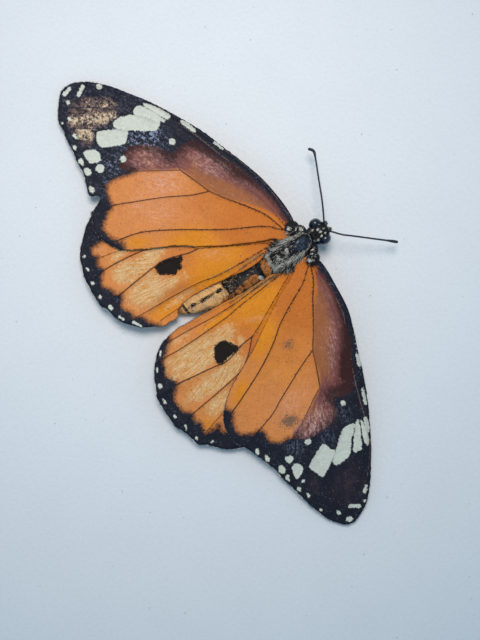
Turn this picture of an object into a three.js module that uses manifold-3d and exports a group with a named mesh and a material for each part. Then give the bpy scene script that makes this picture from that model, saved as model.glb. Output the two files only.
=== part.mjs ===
// A spread butterfly, dry, lying back side up. Millimetres.
// +X is the insect's right, +Y its head and +Z its back. The origin is the middle of the small flat on the
// underside of the thorax, which is the lowest part of the body.

import * as THREE from 'three';
import { mergeVertices } from 'three/addons/utils/BufferGeometryUtils.js';
import Module from 'manifold-3d';

const wasm = await Module();
wasm.setup();

// Driving dimensions: the sheet that the four wings follow
const WING_ROOT_X = 2.5;
const WING_ROOT_HEIGHT = 4.7;
const WING_DROOP = 3.3;
const WING_DROOP_REACH = 36;
const WING_DROOP_POWER = 1.2;
const WING_REAR_SLOPE = 0.05;
const FOREWING_LIFT = 0.3;
const HINDWING_LIFT = -0.3;
const WING_THICKNESS = 0.22;
const WING_CELL = 4.2;
const VEIN_STEP = 6;
const PRISM_BOTTOM = -5;
const PRISM_HEIGHT = 20;
const CURVE_SEGMENTS = 2;
const MARGIN_ROOM = 1;

// Driving dimensions: the body
const THORAX_HALF_WIDTH = 2.4;
const THORAX_HALF_HEIGHT = 3.7;
const THORAX_MID_HEIGHT = 3;
const THORAX_FRONT = 3.55;
const THORAX_REAR = -3.9;
const ABDOMEN_FRONT = -4.15;
const ABDOMEN_REAR = -19.25;
const ABDOMEN_RADIUS = 1.72;
const ABDOMEN_FRONT_HEIGHT = 3.65;
const ABDOMEN_FALL = 0.175;
const ABDOMEN_BEND = 0.0096;
const HEAD_CENTRE = new THREE.Vector3(0, 4.75, 4);
const HEAD_RADII = new THREE.Vector3(1.45, 1.2, 1.35);
const EYE_CENTRE = new THREE.Vector3(1.25, 4.85, 3.9);
const EYE_RADII = new THREE.Vector3(0.86, 0.98, 1.2);
const ANTENNA_RADIUS = 0.13;
const CLUB_RADIUS = 0.24;
const LEG_RADII = [0.34, 0.24, 0.17];
const ROD_SIDES = 6;
const GAP = 0.2;

// Solids and meshes

// The solid of a geometry, for joining and cutting.
function solid(geometry) {
  const bare = geometry.index ? geometry.clone() : geometry;
  bare.deleteAttribute('normal');
  bare.deleteAttribute('uv');
  const merged = mergeVertices(bare, 1e-4);
  return new wasm.Manifold(new wasm.Mesh({
    numProp: 3,
    vertProperties: merged.attributes.position.array,
    triVerts: new Uint32Array(merged.index.array),
  }));
}

// The geometry of a solid.
function geometryOf(body) {
  const mesh = body.getMesh();
  const geometry = new THREE.BufferGeometry();
  geometry.setAttribute('position', new THREE.BufferAttribute(mesh.vertProperties, 3));
  geometry.setIndex(new THREE.BufferAttribute(mesh.triVerts, 1));
  geometry.computeVertexNormals();
  return geometry;
}

const object = new THREE.Group();

function addPiece(name, body, colour, roughness) {
  const material = new THREE.MeshStandardMaterial({ color: colour, roughness, metalness: 0 });
  const mesh = new THREE.Mesh(geometryOf(body), material);
  mesh.name = name;
  object.add(mesh);
}

// An ellipsoid with the given centre and radii, turned about its centre.
function ellipsoid(centre, radii, turn = new THREE.Euler(), around = 12, along = 8) {
  const geometry = new THREE.SphereGeometry(1, around, along);
  geometry.rotateX(Math.PI / 2);
  geometry.scale(radii.x, radii.y, radii.z);
  geometry.applyMatrix4(new THREE.Matrix4().makeRotationFromEuler(turn));
  geometry.translate(centre.x, centre.y, centre.z);
  return solid(geometry);
}

// A round rod with domed ends between two points.
function rod(start, end, radius, sides = ROD_SIDES) {
  const along = new THREE.Vector3().subVectors(end, start);
  const geometry = new THREE.CapsuleGeometry(radius, along.length(), 1, sides);
  const turn = new THREE.Quaternion().setFromUnitVectors(new THREE.Vector3(0, 1, 0), along.normalize());
  geometry.applyQuaternion(turn);
  const middle = new THREE.Vector3().addVectors(start, end).multiplyScalar(0.5);
  geometry.translate(middle.x, middle.y, middle.z);
  return solid(geometry);
}

// A tube along a curve through the given points.
function tube(points, radius, steps, sides = 6) {
  const section = new THREE.Shape();
  for (let i = 0; i < sides; i += 1) {
    const angle = 2 * Math.PI * i / sides;
    const x = radius * Math.cos(angle);
    const y = radius * Math.sin(angle);
    if (i === 0) section.moveTo(x, y);
    else section.lineTo(x, y);
  }
  const path = new THREE.CatmullRomCurve3(points);
  return solid(new THREE.ExtrudeGeometry(section, { steps, extrudePath: path, bevelEnabled: false }));
}

// The same solid grown by about the gap, to cut the clearance of its neighbours.
function grown(body, centre, size) {
  const factors = [0, 1, 2].map((i) => 1 + 2 * GAP / size.getComponent(i));
  const back = centre.toArray();
  const away = back.map((value) => -value);
  return body.translate(away).scale(factors).translate(back);
}

// Wings: each outline is a list of runs, from the root along the leading edge, round the tip and back along the
// inner margin. A run is one smooth curve, and two runs meet in a corner. Veins are lists of points on the sheet.

const wings = {
  left_forewing: {
    lift: FOREWING_LIFT,
    colour: 0xc67a3a,
    outline: [
      [[-2.3, 1.3], [-4.95, 2.65], [-9.9, 2.35], [-15, 1.1], [-20, -0.5], [-25.5, -2.7], [-30, -5.1],
        [-34.1, -7.8], [-37, -10.2], [-38.6, -12.25], [-39.15, -13.9], [-38.7, -15.6], [-36.8, -17.2],
        [-34.85, -18.15], [-31.25, -18.65], [-27, -19.25], [-23.7, -20.4]],
      [[-22.85, -19.3], [-22.1, -19.3]],
      [[-21.8, -20], [-21.3, -21], [-20.2, -22], [-18.2, -22.6], [-16, -22], [-14.2, -20.9]],
      [[-12, -17.5], [-9, -12.4], [-5.9, -7.6], [-3.5, -3], [-2.3, -0.8]],
    ],
    veins: [
      [0.26, [-3.4, 1.9], [-9.9, 1.85], [-20, -1], [-30, -5.6], [-36.6, -10.6]],
      [0.24, [-3.3, 1], [-12, 0.3], [-18, -1.6], [-24, -3.6], [-30, -7], [-35.8, -13]],
      [0.24, [-3.3, 0.4], [-9, -2], [-14, -5.3], [-19, -7.1], [-21.9, -11.6], [-24.2, -19.3]],
      [0.2, [-14, -5.3], [-17, -11.3], [-19, -15.4], [-20.3, -21.2]],
      [0.22, [-3.3, 0], [-6.6, -4.2], [-10, -9.6], [-13.6, -15.3], [-15.9, -21.4]],
      [0.18, [-22, -4], [-28, -8.3], [-33, -13], [-35.6, -17]],
      [0.18, [-19, -7.1], [-22.6, -6.7], [-26.4, -10.6], [-31, -18]],
    ],
  },
  right_forewing: {
    lift: FOREWING_LIFT,
    colour: 0xb86e36,
    outline: [
      [[2.3, 1.3], [5.2, 2.5], [9.5, 2.15], [15.1, 0.75], [20.75, -1.45], [26.1, -3.95], [30, -6],
        [33.2, -8.05], [36.1, -10.4], [37.9, -12.75], [38.7, -14.65], [38.2, -16.3], [36.4, -17.75],
        [32, -19.15], [28.2, -19.85], [23.95, -20.75], [20.3, -22.15], [17.5, -23], [15.5, -22.6],
        [13.1, -20.6]],
      [[10.2, -15.6], [8, -11.4], [5.5, -7.2], [3.5, -3.2], [2.3, -1.2]],
    ],
    veins: [
      [0.26, [3.3, 1.8], [9.5, 1.65], [20.75, -2], [30, -6.6], [35.8, -11]],
      [0.24, [3.2, 1.2], [12, 0.7], [17, -1.4], [23, -4], [30, -8.2], [35.6, -13.8]],
      [0.24, [3.3, 0.8], [7.5, -1.5], [13.9, -5.75], [19, -7.9], [21.6, -12.4], [24.3, -20]],
      [0.2, [13.9, -5.75], [16.1, -11.1], [18.6, -16.4], [20, -21.6]],
      [0.22, [3.2, 0.3], [6.2, -4.2], [10, -10.3], [13.5, -17], [15.3, -21.8]],
      [0.18, [22, -4.6], [28, -8.3], [33, -13.4], [35.4, -17.4]],
      [0.18, [19, -7.9], [22.8, -7.1], [26.4, -10.6], [31.2, -18.6]],
    ],
  },
  left_hindwing: {
    lift: HINDWING_LIFT,
    colour: 0xd08a3c,
    outline: [
      [[-2.3, -1.4], [-7, -3.2], [-12, -7], [-17, -12], [-20.5, -17], [-21.5, -21.1], [-20, -23.45],
        [-18, -25.65], [-15.85, -27], [-13.8, -27.8], [-11, -28.15], [-8.65, -27.95], [-5, -26.6],
        [-2.4, -23.85], [-1.25, -21], [-0.95, -18.5]],
      [[-0.7, -13], [-0.9, -7], [-2.2, -3]],
    ],
    veins: [
      [0.22, [-3.3, -2.6], [-5.4, -7], [-8, -11.5], [-9.2, -16], [-9.2, -22], [-8.9, -27.5]],
      [0.2, [-8, -11.5], [-10, -13.7], [-12.4, -18.8], [-13.2, -27.2]],
      [0.2, [-3.4, -2.4], [-10, -8], [-15, -12.6], [-18.8, -18], [-20.3, -22.2]],
      [0.18, [-10, -13.7], [-14, -19], [-16.2, -26]],
      [0.2, [-3.1, -3], [-3.6, -10.5], [-4.2, -18], [-4.8, -25.9]],
    ],
  },
  right_hindwing: {
    lift: HINDWING_LIFT,
    colour: 0xc88438,
    outline: [
      [[2.3, -1.4], [8, -5], [14, -10.5], [18.5, -16], [20.3, -20], [20, -22.65], [18.5, -25.1], [16.6, -26.9],
        [14.05, -28.1], [11, -28.9], [7, -28.8], [4, -27.3], [1.45, -25], [0.35, -22.5], [0.1, -20.5]],
      [[0.6, -17.5], [1, -13], [1.2, -7], [2.2, -3]],
    ],
    veins: [
      [0.22, [3.2, -3], [5.4, -8], [7.25, -12], [8.1, -16.5], [7.65, -20.5], [6.8, -28.2]],
      [0.2, [7.25, -12], [9.8, -14.9], [11.3, -21], [12.1, -28.1]],
      [0.2, [3.4, -2.4], [10, -8], [15, -13.6], [18, -18.5], [18.9, -23.4]],
      [0.18, [9.8, -14.9], [13.4, -20], [15.8, -26.8]],
      [0.2, [3, -3.4], [2.5, -10], [2.9, -18], [2.5, -25.4]],
    ],
  },
};

// Height of the sheet that the wings follow: it falls from the roots to the tips, and a little to the rear.
function sheetHeight(x, y) {
  const out = Math.max(Math.abs(x) - WING_ROOT_X, 0);
  const droop = WING_DROOP * (out / WING_DROOP_REACH) ** WING_DROOP_POWER;
  return WING_ROOT_HEIGHT - droop + WING_REAR_SLOPE * (y + 2);
}

function wingShape(outline) {
  const shape = new THREE.Shape();
  shape.moveTo(...outline[0][0]);
  shape.splineThru(outline[0].slice(1).map((point) => new THREE.Vector2(...point)));
  for (const run of outline.slice(1)) {
    shape.splineThru(run.map((point) => new THREE.Vector2(...point)));
  }
  shape.closePath();
  return shape;
}

// A box in thin cells, bent to the sheet.
function bentSlab(shape, lift) {
  const box = new THREE.Box2().setFromPoints(shape.getPoints(CURVE_SEGMENTS)).expandByScalar(MARGIN_ROOM);
  const size = box.getSize(new THREE.Vector2());
  const middle = box.getCenter(new THREE.Vector2());
  const cells = [Math.round(size.x / WING_CELL), Math.round(size.y / WING_CELL)];
  const geometry = new THREE.BoxGeometry(size.x, size.y, WING_THICKNESS, cells[0], cells[1], 1);
  geometry.translate(middle.x, middle.y, lift);
  const position = geometry.attributes.position;
  for (let i = 0; i < position.count; i += 1) {
    position.setZ(i, position.getZ(i) + sheetHeight(position.getX(i), position.getY(i)));
  }
  return solid(geometry);
}

function veinRib(vein, lift) {
  const [radius, ...route] = vein;
  const points = route.map(([x, y]) => new THREE.Vector3(x, y, sheetHeight(x, y) + lift));
  const length = new THREE.CatmullRomCurve3(points).getLength();
  return tube(points, radius, Math.ceil(length / VEIN_STEP), 4);
}

function wing({ outline, veins, lift }) {
  const shape = wingShape(outline);
  const prism = new THREE.ExtrudeGeometry(shape, {
    depth: PRISM_HEIGHT, curveSegments: CURVE_SEGMENTS, bevelEnabled: false,
  });
  prism.translate(0, 0, PRISM_BOTTOM);
  let body = solid(prism).intersect(bentSlab(shape, lift));
  for (const vein of veins) {
    body = body.add(veinRib(vein, lift));
  }
  return body;
}

// Thorax: a deep egg with two collar lobes behind the head, flat underneath where it rests

function thoraxBody() {
  const profile = [
    [0, THORAX_REAR], [0.55, THORAX_REAR + 0.35], [0.84, -2.6], [0.98, -1.2], [1, 0.1], [0.93, 1.4],
    [0.74, 2.5], [0.45, 3.2], [0, THORAX_FRONT],
  ];
  const points = profile.map(([radius, y]) => new THREE.Vector2(radius, y));
  const geometry = new THREE.LatheGeometry(points, 18);
  geometry.scale(THORAX_HALF_WIDTH, 1, THORAX_HALF_HEIGHT);
  geometry.translate(0, 0, THORAX_MID_HEIGHT);
  let body = solid(geometry);
  for (const side of [-1, 1]) {
    const centre = new THREE.Vector3(side * 1.35, 2.75, 4.9);
    const turn = new THREE.Euler(0, 0, side * -0.3);
    body = body.add(ellipsoid(centre, new THREE.Vector3(0.8, 0.66, 0.62), turn, 8, 6));
  }
  const floor = new THREE.BoxGeometry(20, 20, 4);
  floor.translate(0, 0, -2);
  return body.subtract(solid(floor));
}

// Abdomen: ringed, bent a little to the left, and falling to the rear until its end touches the surface

function abdomenBody() {
  const length = ABDOMEN_FRONT - ABDOMEN_REAR;
  const rings = 8;
  const ringGroove = 0.07;
  const fullness = (t) => Math.sin(Math.PI * (0.2 + 0.62 * t + 0.18 * t ** 8)) ** 0.55;
  const points = [new THREE.Vector2(0, ABDOMEN_FRONT)];
  for (let i = 0; i < rings; i += 1) {
    for (const part of [0.08, 0.55, 0.92]) {
      const t = (i + part) / rings;
      const groove = part === 0.55 ? 0 : ringGroove;
      points.push(new THREE.Vector2(ABDOMEN_RADIUS * fullness(t) - groove, ABDOMEN_FRONT - t * length));
    }
  }
  points.push(new THREE.Vector2(0, ABDOMEN_REAR));
  const geometry = new THREE.LatheGeometry(points.reverse(), 12);
  const position = geometry.attributes.position;
  for (let i = 0; i < position.count; i += 1) {
    const back = ABDOMEN_FRONT - position.getY(i);
    position.setX(i, position.getX(i) - ABDOMEN_BEND * back ** 2);
    position.setZ(i, position.getZ(i) + ABDOMEN_FRONT_HEIGHT - ABDOMEN_FALL * back);
  }
  return solid(geometry);
}

// Head with its eyes, palps, tongue and antennae

const mirrored = (vector, side) => new THREE.Vector3(side * vector.x, vector.y, vector.z);

function eyeBody(side) {
  return ellipsoid(mirrored(EYE_CENTRE, side), EYE_RADII, new THREE.Euler(0, side * 0.2, 0), 12, 6);
}

function headBody() {
  let body = ellipsoid(HEAD_CENTRE, HEAD_RADII, new THREE.Euler(), 12, 8);
  for (const side of [-1, 1]) {
    const centre = mirrored(EYE_CENTRE, side);
    body = body.subtract(grown(eyeBody(side), centre, EYE_RADII.clone().multiplyScalar(2)));
  }
  const behind = new THREE.BoxGeometry(10, 10, 10);
  behind.translate(0, THORAX_FRONT + GAP - 5, HEAD_CENTRE.z);
  return body.subtract(solid(behind));
}

function palpBody(side) {
  const points = [[0.42, 6.05, 2.9], [0.5, 6.3, 3.6], [0.6, 6.25, 4.35]]
    .map(([x, y, z]) => new THREE.Vector3(side * x, y, z));
  return rod(points[0], points[1], 0.24).add(rod(points[1], points[2], 0.2));
}

function tongueBody() {
  const turns = 1.6;
  const coilPoints = 12;
  const points = [new THREE.Vector3(0, 5.7, 2.65)];
  for (let i = 0; i <= coilPoints; i += 1) {
    const t = i / coilPoints;
    const angle = 0.6 - 2 * Math.PI * turns * t;
    const radius = 0.95 - 0.62 * t;
    points.push(new THREE.Vector3(0, 4.85 + radius * Math.cos(angle), 1.55 + radius * Math.sin(angle)));
  }
  return tube(points, 0.11, 26, 5);
}

const antennaRoutes = {
  left: [[-0.75, 6.05, 4.75], [-3.4, 7.5, 4.9], [-6.9, 9.2, 4.2], [-9.3, 10.4, 3.4], [-10.4, 10.8, 3]],
  right: [[0.8, 6.05, 4.75], [2.2, 7.2, 4.9], [3.2, 8.35, 4.8], [5.3, 10.8, 4], [6.9, 12.7, 3.2]],
};
const clubEnds = { left: [-11.15, 10.35, 2.7], right: [7.75, 13.65, 2.8] };

function antennaBody(side) {
  const points = antennaRoutes[side].map((point) => new THREE.Vector3(...point));
  const club = rod(points[points.length - 1], new THREE.Vector3(...clubEnds[side]), CLUB_RADIUS, 8);
  return tube(points, ANTENNA_RADIUS, 9).add(club);
}

function tegulaBody(side) {
  const centre = new THREE.Vector3(side * 2.72, 1.75, 5.72);
  return ellipsoid(centre, new THREE.Vector3(0.88, 0.98, 0.34), new THREE.Euler(0, side * 0.35, 0), 10, 6);
}

// Legs: hip, knee, ankle and toe of each right leg. The front pair is short and folded under the head.

const legs = {
  foreleg: { size: 0.7, joints: [[0.9, 3.1, 1.3], [1.5, 4.7, 1.7], [1.1, 4, 0.75], [0.9, 5.1, 0.5]] },
  midleg: { size: 1, joints: [[1.4, -0.2, 0.9], [4.5, 0.9, 2.4], [5.7, -3, 0.55], [5.9, -5.8, 0.2]] },
  hindleg: { size: 1, joints: [[1.2, -2.5, 0.9], [3.7, -4.9, 2.2], [4.1, -9.6, 0.55], [4.9, -12.8, 0.2]] },
};

function legBody({ size, joints }, side) {
  const points = joints.map(([x, y, z]) => new THREE.Vector3(side * x, y, z));
  const parts = LEG_RADII.map((radius, i) => rod(points[i], points[i + 1], radius * size));
  return parts[0].add(parts[1]).add(parts[2]);
}

// The whole insect

const thorax = thoraxBody();
const abdomen = abdomenBody();
const thoraxRoom = grown(
  thorax,
  new THREE.Vector3(0, 0, THORAX_MID_HEIGHT),
  new THREE.Vector3(2 * THORAX_HALF_WIDTH, THORAX_FRONT - THORAX_REAR, 2 * THORAX_HALF_HEIGHT),
);
const abdomenMiddle = new THREE.Vector3(0, (ABDOMEN_FRONT + ABDOMEN_REAR) / 2, ABDOMEN_FRONT_HEIGHT);
const abdomenSize = new THREE.Vector3(2 * ABDOMEN_RADIUS, ABDOMEN_FRONT - ABDOMEN_REAR, 2 * ABDOMEN_RADIUS);
const abdomenRoom = grown(abdomen, abdomenMiddle, abdomenSize);

addPiece('thorax', thorax, 0x23242e, 0.6);
addPiece('abdomen', abdomen, 0x8a6242, 0.75);
addPiece('head', headBody(), 0x23242c, 0.7);
addPiece('proboscis', tongueBody(), 0x2a211c, 0.5);
for (const [name, parts] of Object.entries(wings)) {
  addPiece(name, wing(parts).subtract(thoraxRoom).subtract(abdomenRoom), parts.colour, 0.8);
}
for (const [name, side] of [['left', -1], ['right', 1]]) {
  addPiece(`${name}_eye`, eyeBody(side), 0x1d2026, 0.15);
  addPiece(`${name}_palp`, palpBody(side), 0x2a2a30, 0.8);
  addPiece(`${name}_antenna`, antennaBody(name), 0x1e1b1c, 0.6);
  addPiece(`${name}_tegula`, tegulaBody(side), 0x26262e, 0.8);
  for (const [pair, leg] of Object.entries(legs)) {
    addPiece(`${name}_${pair}`, legBody(leg, side).subtract(thoraxRoom), 0x2b2522, 0.7);
  }
}

export default object;
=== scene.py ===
"""A dry, spread butterfly, back side up: scaled wings with markings, a haired body and a pale floor."""

import math
from collections import namedtuple

import bpy
import numpy as np
from mathutils import Matrix, Vector, geometry


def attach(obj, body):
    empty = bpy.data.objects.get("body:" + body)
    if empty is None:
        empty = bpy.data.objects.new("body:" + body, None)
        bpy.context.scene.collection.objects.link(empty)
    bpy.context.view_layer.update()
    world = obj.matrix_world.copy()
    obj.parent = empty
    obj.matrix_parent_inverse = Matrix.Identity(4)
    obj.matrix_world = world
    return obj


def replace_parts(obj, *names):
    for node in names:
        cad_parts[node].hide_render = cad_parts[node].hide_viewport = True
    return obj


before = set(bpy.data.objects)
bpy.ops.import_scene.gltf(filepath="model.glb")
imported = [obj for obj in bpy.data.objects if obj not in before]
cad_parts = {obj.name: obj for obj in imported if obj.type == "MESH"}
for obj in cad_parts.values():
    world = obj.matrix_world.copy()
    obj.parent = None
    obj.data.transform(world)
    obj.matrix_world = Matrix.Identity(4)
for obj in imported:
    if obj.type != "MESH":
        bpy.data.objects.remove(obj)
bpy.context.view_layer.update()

bl_info = {
    "name": "Spread Butterfly",
    "version": (1, 0, 0),
    "blender": (4, 5, 0),
    "location": "3D View > Sidebar > Butterfly",
    "description": "Builds a dry, spread butterfly around its frame",
    "category": "Object",
}

MM = 0.001


# Colours

def from_screen(red, green, blue):
    """A colour as a screen shows it, 0 to 255, in the linear values that a material takes."""
    values = [channel / 255 for channel in (red, green, blue)]
    return tuple(v / 12.92 if v <= 0.04045 else ((v + 0.055) / 1.055) ** 2.4 for v in values)


# Wing forms and markings, in millimetres in the part's frame
#
# lift: height above the sheet that all wings follow
# outline: smooth runs that meet in corners
# veins: height of the ridge, half the width of the dark line, and the route
# black, spot, maroon, brown, white_patches: closed patches
# white_spots: middle and two radii
# white_streaks: start, end and width
# tan, fold, line: route, reach and strength
# blush, slate, smudge, pale, warm, plum, frost, dim, lit: middle, two radii, turn in degrees and strength
# Of the clouds, blush is a painted pinkish sheen, and slate is bluish grey on the black, partly dust and
# partly a painted bluish sheen; fold is a streaky fold beside the abdomen with painted shade along it

LEFT_FOREWING = {
    "lift": 0.3,
    "outline": [
        [(-1.9, 1.4), (-2.9, 2.3), (-4.95, 2.65), (-7.9, 2.55), (-11.3, 2.1), (-15, 1.1), (-18.35, 0),
         (-21.2, -0.9), (-24, -2.1), (-27.1, -3.6), (-30, -5.1), (-32.8, -6.95), (-35.9, -9.1),
         (-37.9, -11.2), (-39, -13.15), (-39.15, -13.9), (-39.1, -14.8), (-38.7, -15.6), (-36.8, -17.2),
         (-35.6, -17.95), (-34.85, -18.15), (-33.4, -18.2), (-32.7, -18.5), (-30, -18.8), (-28.95, -19.1),
         (-27, -19.25), (-25, -19.9), (-23.7, -20.4)],
        [(-23.2, -20.15), (-22.85, -19.3), (-22.5, -19.15), (-22.1, -19.3)],
        [(-21.8, -20), (-21.3, -21), (-20.2, -22), (-18.2, -22.6), (-16, -22), (-14.2, -20.9)],
        [(-13.5, -20), (-12, -17.5), (-10, -13.7), (-8.2, -11.3), (-5.9, -7.6), (-3.5, -3), (-2.9, -1.5),
         (-1.9, -0.4)],
    ],
    "veins": [
        (0.14, 0.1, [(-2.4, 2), (-9.9, 1.95), (-15, 0.75), (-21, -1.2), (-27, -3.9), (-33, -7.4),
                     (-37.6, -11.5)]),
        (0.1, 0.05, [(-3, 1.3), (-8, 1.35), (-12, 0.5), (-18, -1.2), (-22, -2.4), (-24.6, -3.4)]),
        (0.1, 0.04, [(-3, 1), (-7.5, 0.6), (-12, -0.5), (-16, -1.8)]),
        (0.12, 0.1, [(-3.2, 0.5), (-6.3, -0.4), (-9, -2), (-12, -4.1), (-14, -5.3), (-16, -6),
                     (-19, -7.1)]),
        (0.1, 0.07, [(-19, -7.1), (-20.9, -10), (-23, -13.3), (-23.6, -15), (-24.4, -19.9)]),
        (0.08, 0.08, [(-14, -5.4), (-15, -7.8), (-17, -11.3), (-19, -15.4), (-20.3, -18.3),
                      (-21, -21.2)]),
        (0.1, 0.09, [(-3.4, 0.2), (-5.3, -1.8), (-8.1, -6.7), (-12, -12.5), (-14.6, -17),
                     (-15.9, -21.7)]),
        (0.08, 0.07, [(-22, -3.4), (-26.4, -4.9), (-28, -5.3), (-30, -6.4), (-33.5, -9), (-36.9, -12.4)]),
        (0.08, 0.07, [(-22.4, -4), (-26.6, -5.9), (-28, -6.8), (-30, -8.4), (-33.6, -11.8),
                      (-36.8, -16.4)]),
        (0.08, 0.07, [(-22.6, -5), (-24.8, -7), (-27.5, -9.5), (-30, -12.3), (-32.3, -15.4),
                      (-33.9, -18)]),
        (0.07, 0.05, [(-21.8, -6.7), (-24.2, -8.9), (-26.4, -11.4), (-28.2, -14.9), (-30.2, -18.6)]),
        (0.07, 0.05, [(-20.9, -7), (-23.5, -10.2), (-25.4, -13.6), (-26.8, -16.8), (-27.6, -19)]),
        (0.07, 0.06, [(-19, -7.1), (-21.8, -6.7), (-22.6, -5), (-22, -3.4)]),
    ],
    "black": [
        [(-2.2, 1.9), (-7, 1.9), (-11, 1.2), (-15, 0.1), (-17, -1), (-20, -2.1), (-21.6, -3), (-22, -5),
         (-21.8, -6.8), (-23, -7.5), (-24.5, -8.6), (-26, -10.5), (-26.2, -12), (-25, -14),
         (-23.9, -14.1), (-22.9, -12.8), (-22.8, -13.2), (-23.5, -15.4), (-23.6, -17), (-22.7, -18),
         (-20.4, -18.6), (-20.1, -19.4), (-19.5, -20.3), (-18.8, -21.3), (-18, -21.6), (-17, -21.5),
         (-15.8, -21), (-14.4, -20.4), (-13.2, -22), (-17, -24), (-24, -23), (-36, -20), (-41, -15),
         (-38, -8), (-28, -1.5), (-15, 3.5), (-3, 4)],
    ],
    "maroon": [
        [(-3.6, 1.5), (-6.6, 0.3), (-9.2, -1.7), (-12, -4), (-14, -5.2), (-16, -5.9), (-19, -7.1),
         (-20.9, -10), (-23, -13.3), (-23.9, -16.2), (-27, -14), (-27, -9), (-23, -4), (-15, 1.6),
         (-4, 2.6)],
    ],
    "white_patches": [
        [(-22.6, -1.95), (-22.7, -2.4), (-24.9, -3.1), (-24.9, -2.65), (-23.8, -2.15)],
        [(-26.5, -3.8), (-28.3, -4.5), (-29.8, -5.5), (-30.4, -6.1), (-29.8, -6.15), (-28.2, -5.4),
         (-26.7, -4.7), (-26.3, -4.3)],
        [(-26.3, -5.1), (-26.8, -4.9), (-28.6, -5.7), (-30.1, -6.4), (-30.6, -7.2), (-30.4, -7.9),
         (-29.7, -8), (-28.4, -6.9)],
        [(-26, -6.7), (-26.6, -5.6), (-27.9, -6.5), (-29.6, -8), (-30.3, -9.1), (-30.7, -10.2),
         (-30.6, -11.2), (-29.7, -11.6), (-28, -9.6), (-26.6, -7.9)],
        [(-30.7, -14.2), (-30.5, -13.4), (-29.5, -11.7), (-28.5, -10.3), (-27.6, -10.8), (-27, -11.7),
         (-27.4, -12.8), (-28.1, -14.1), (-28.6, -14.9), (-29.7, -14.9)],
        [(-28.9, -16.1), (-28.3, -15.7), (-27.6, -15.7), (-27, -16.1), (-27.1, -16.9), (-27.6, -17.6),
         (-29.3, -17.6), (-29.4, -16.9)],
    ],
    "white_spots": [
        (-23.2, -5.75, 0.5, 0.42), (-25.2, -13.2, 0.45, 0.42), (-36.3, -10.1, 0.42, 0.45),
        (-37, -15.3, 0.38, 0.28), (-34.8, -16.5, 0.33, 0.2), (-34.9, -17.7, 0.2, 0.18),
        (-32.2, -17.2, 0.42, 0.24), (-30.8, -18.2, 0.35, 0.25), (-26, -16.8, 0.6, 0.62),
        (-28.4, -18.6, 0.52, 0.33), (-26.7, -18.6, 0.6, 0.48), (-24.1, -19.6, 0.5, 0.33),
    ],
    "white_streaks": [
        ((-18.1, -0.2), (-19.5, -0.65), 0.34), ((-37.7, -12.1), (-37, -13.4), 0.55),
        ((-38.6, -14), (-38.3, -15.1), 0.5),
    ],
    "brown": [
        [(-36.4, -13.6), (-34.9, -10.8), (-33.5, -9.8), (-31.9, -9.3), (-31.1, -11), (-31, -13),
         (-31.1, -14.5), (-29.9, -15.1), (-29.9, -16.9), (-32, -17.3), (-34.5, -16.9), (-36.1, -15.6)],
    ],
    "tan": [
        ([(-31.2, -11.2), (-32.6, -13.2)], 0.75, 1),
        ([(-32.9, -13.8), (-34.2, -16)], 0.7, 0.75),
        ([(-31, -14.8), (-32.2, -16.7)], 0.75, 0.9),
        ([(-33.4, -10.2), (-35, -13)], 0.7, 0.45),
    ],
    "painted_sheen": [
        (-23, -10.2, 2.2, 2.4, 0, 0.6), (-17, -3.7, 3, 0.7, 28, 0.65), (-19, -10.4, 3, 2.6, 60, 0.8),
        (-15.6, -13, 2.4, 1.8, 50, 0.5), (-18.2, -14.6, 1.8, 2, 0, 0.45), (-17.5, -3, 3.4, 0.9, 28, 0.65),
        (-22.6, -9.8, 2.2, 1.1, 60, 0.55), (-24.6, -12.2, 1.2, 0.9, 60, 0.35),
        (-12, -0.6, 2.4, 0.6, 25, 0.3),
    ],
    "slate_and_sheen": [
        (-32, -12, 9, 7, 55, 0.22), (-27.4, -10.8, 3, 1.5, 55, 1.15), (-25.6, -8.2, 2.2, 1.5, 55, 1.15),
        (-25.2, -15, 1.8, 2, 0, 0.7), (-23.4, -17.4, 1, 1.6, 0, 0.4),
    ],
    "smudge": [
        (-6, -4.3, 0.5, 0.4, 0, 0.45), (-11.5, -7.9, 0.6, 0.5, 0, 0.4), (-21.2, -13.3, 0.6, 0.5, 30, 0.4),
        (-16.8, -17.8, 0.5, 0.6, 0, 0.3), (-20, -9.4, 0.4, 0.3, 0, 0.3),
    ],
    "warm": [
        (-9, -12, 5, 3, 60, 0.9), (-13.5, -18, 3, 1.4, 60, 0.7),
    ],
    "frost": [
        (-24, -2.6, 6, 0.35, 27, 0.35), (-12, 2, 6, 0.25, 10, 0.3),
    ],
    "line": [
        ([(-7, 1.6), (-12, 0.7), (-18, -1.1), (-22, -2.3), (-25, -3.4)], 0.09, 1),
        ([(-3, 2.35), (-9.9, 2.2), (-15, 0.95), (-19, -0.45)], 0.08, 0.8),
    ],
    "dim": [
        (-16.4, -1.1, 6, 1.6, 20, 1.3), (-22.5, -8.5, 2.4, 1.2, 55, 0.4),
    ],
    "lit": [
        (-23, -10.4, 2, 2.6, 0, 0.8), (-17.6, -2.8, 3.4, 1.1, 28, 1.2), (-12, -2.4, 3, 1, 20, 0.8),
    ],
}

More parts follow.
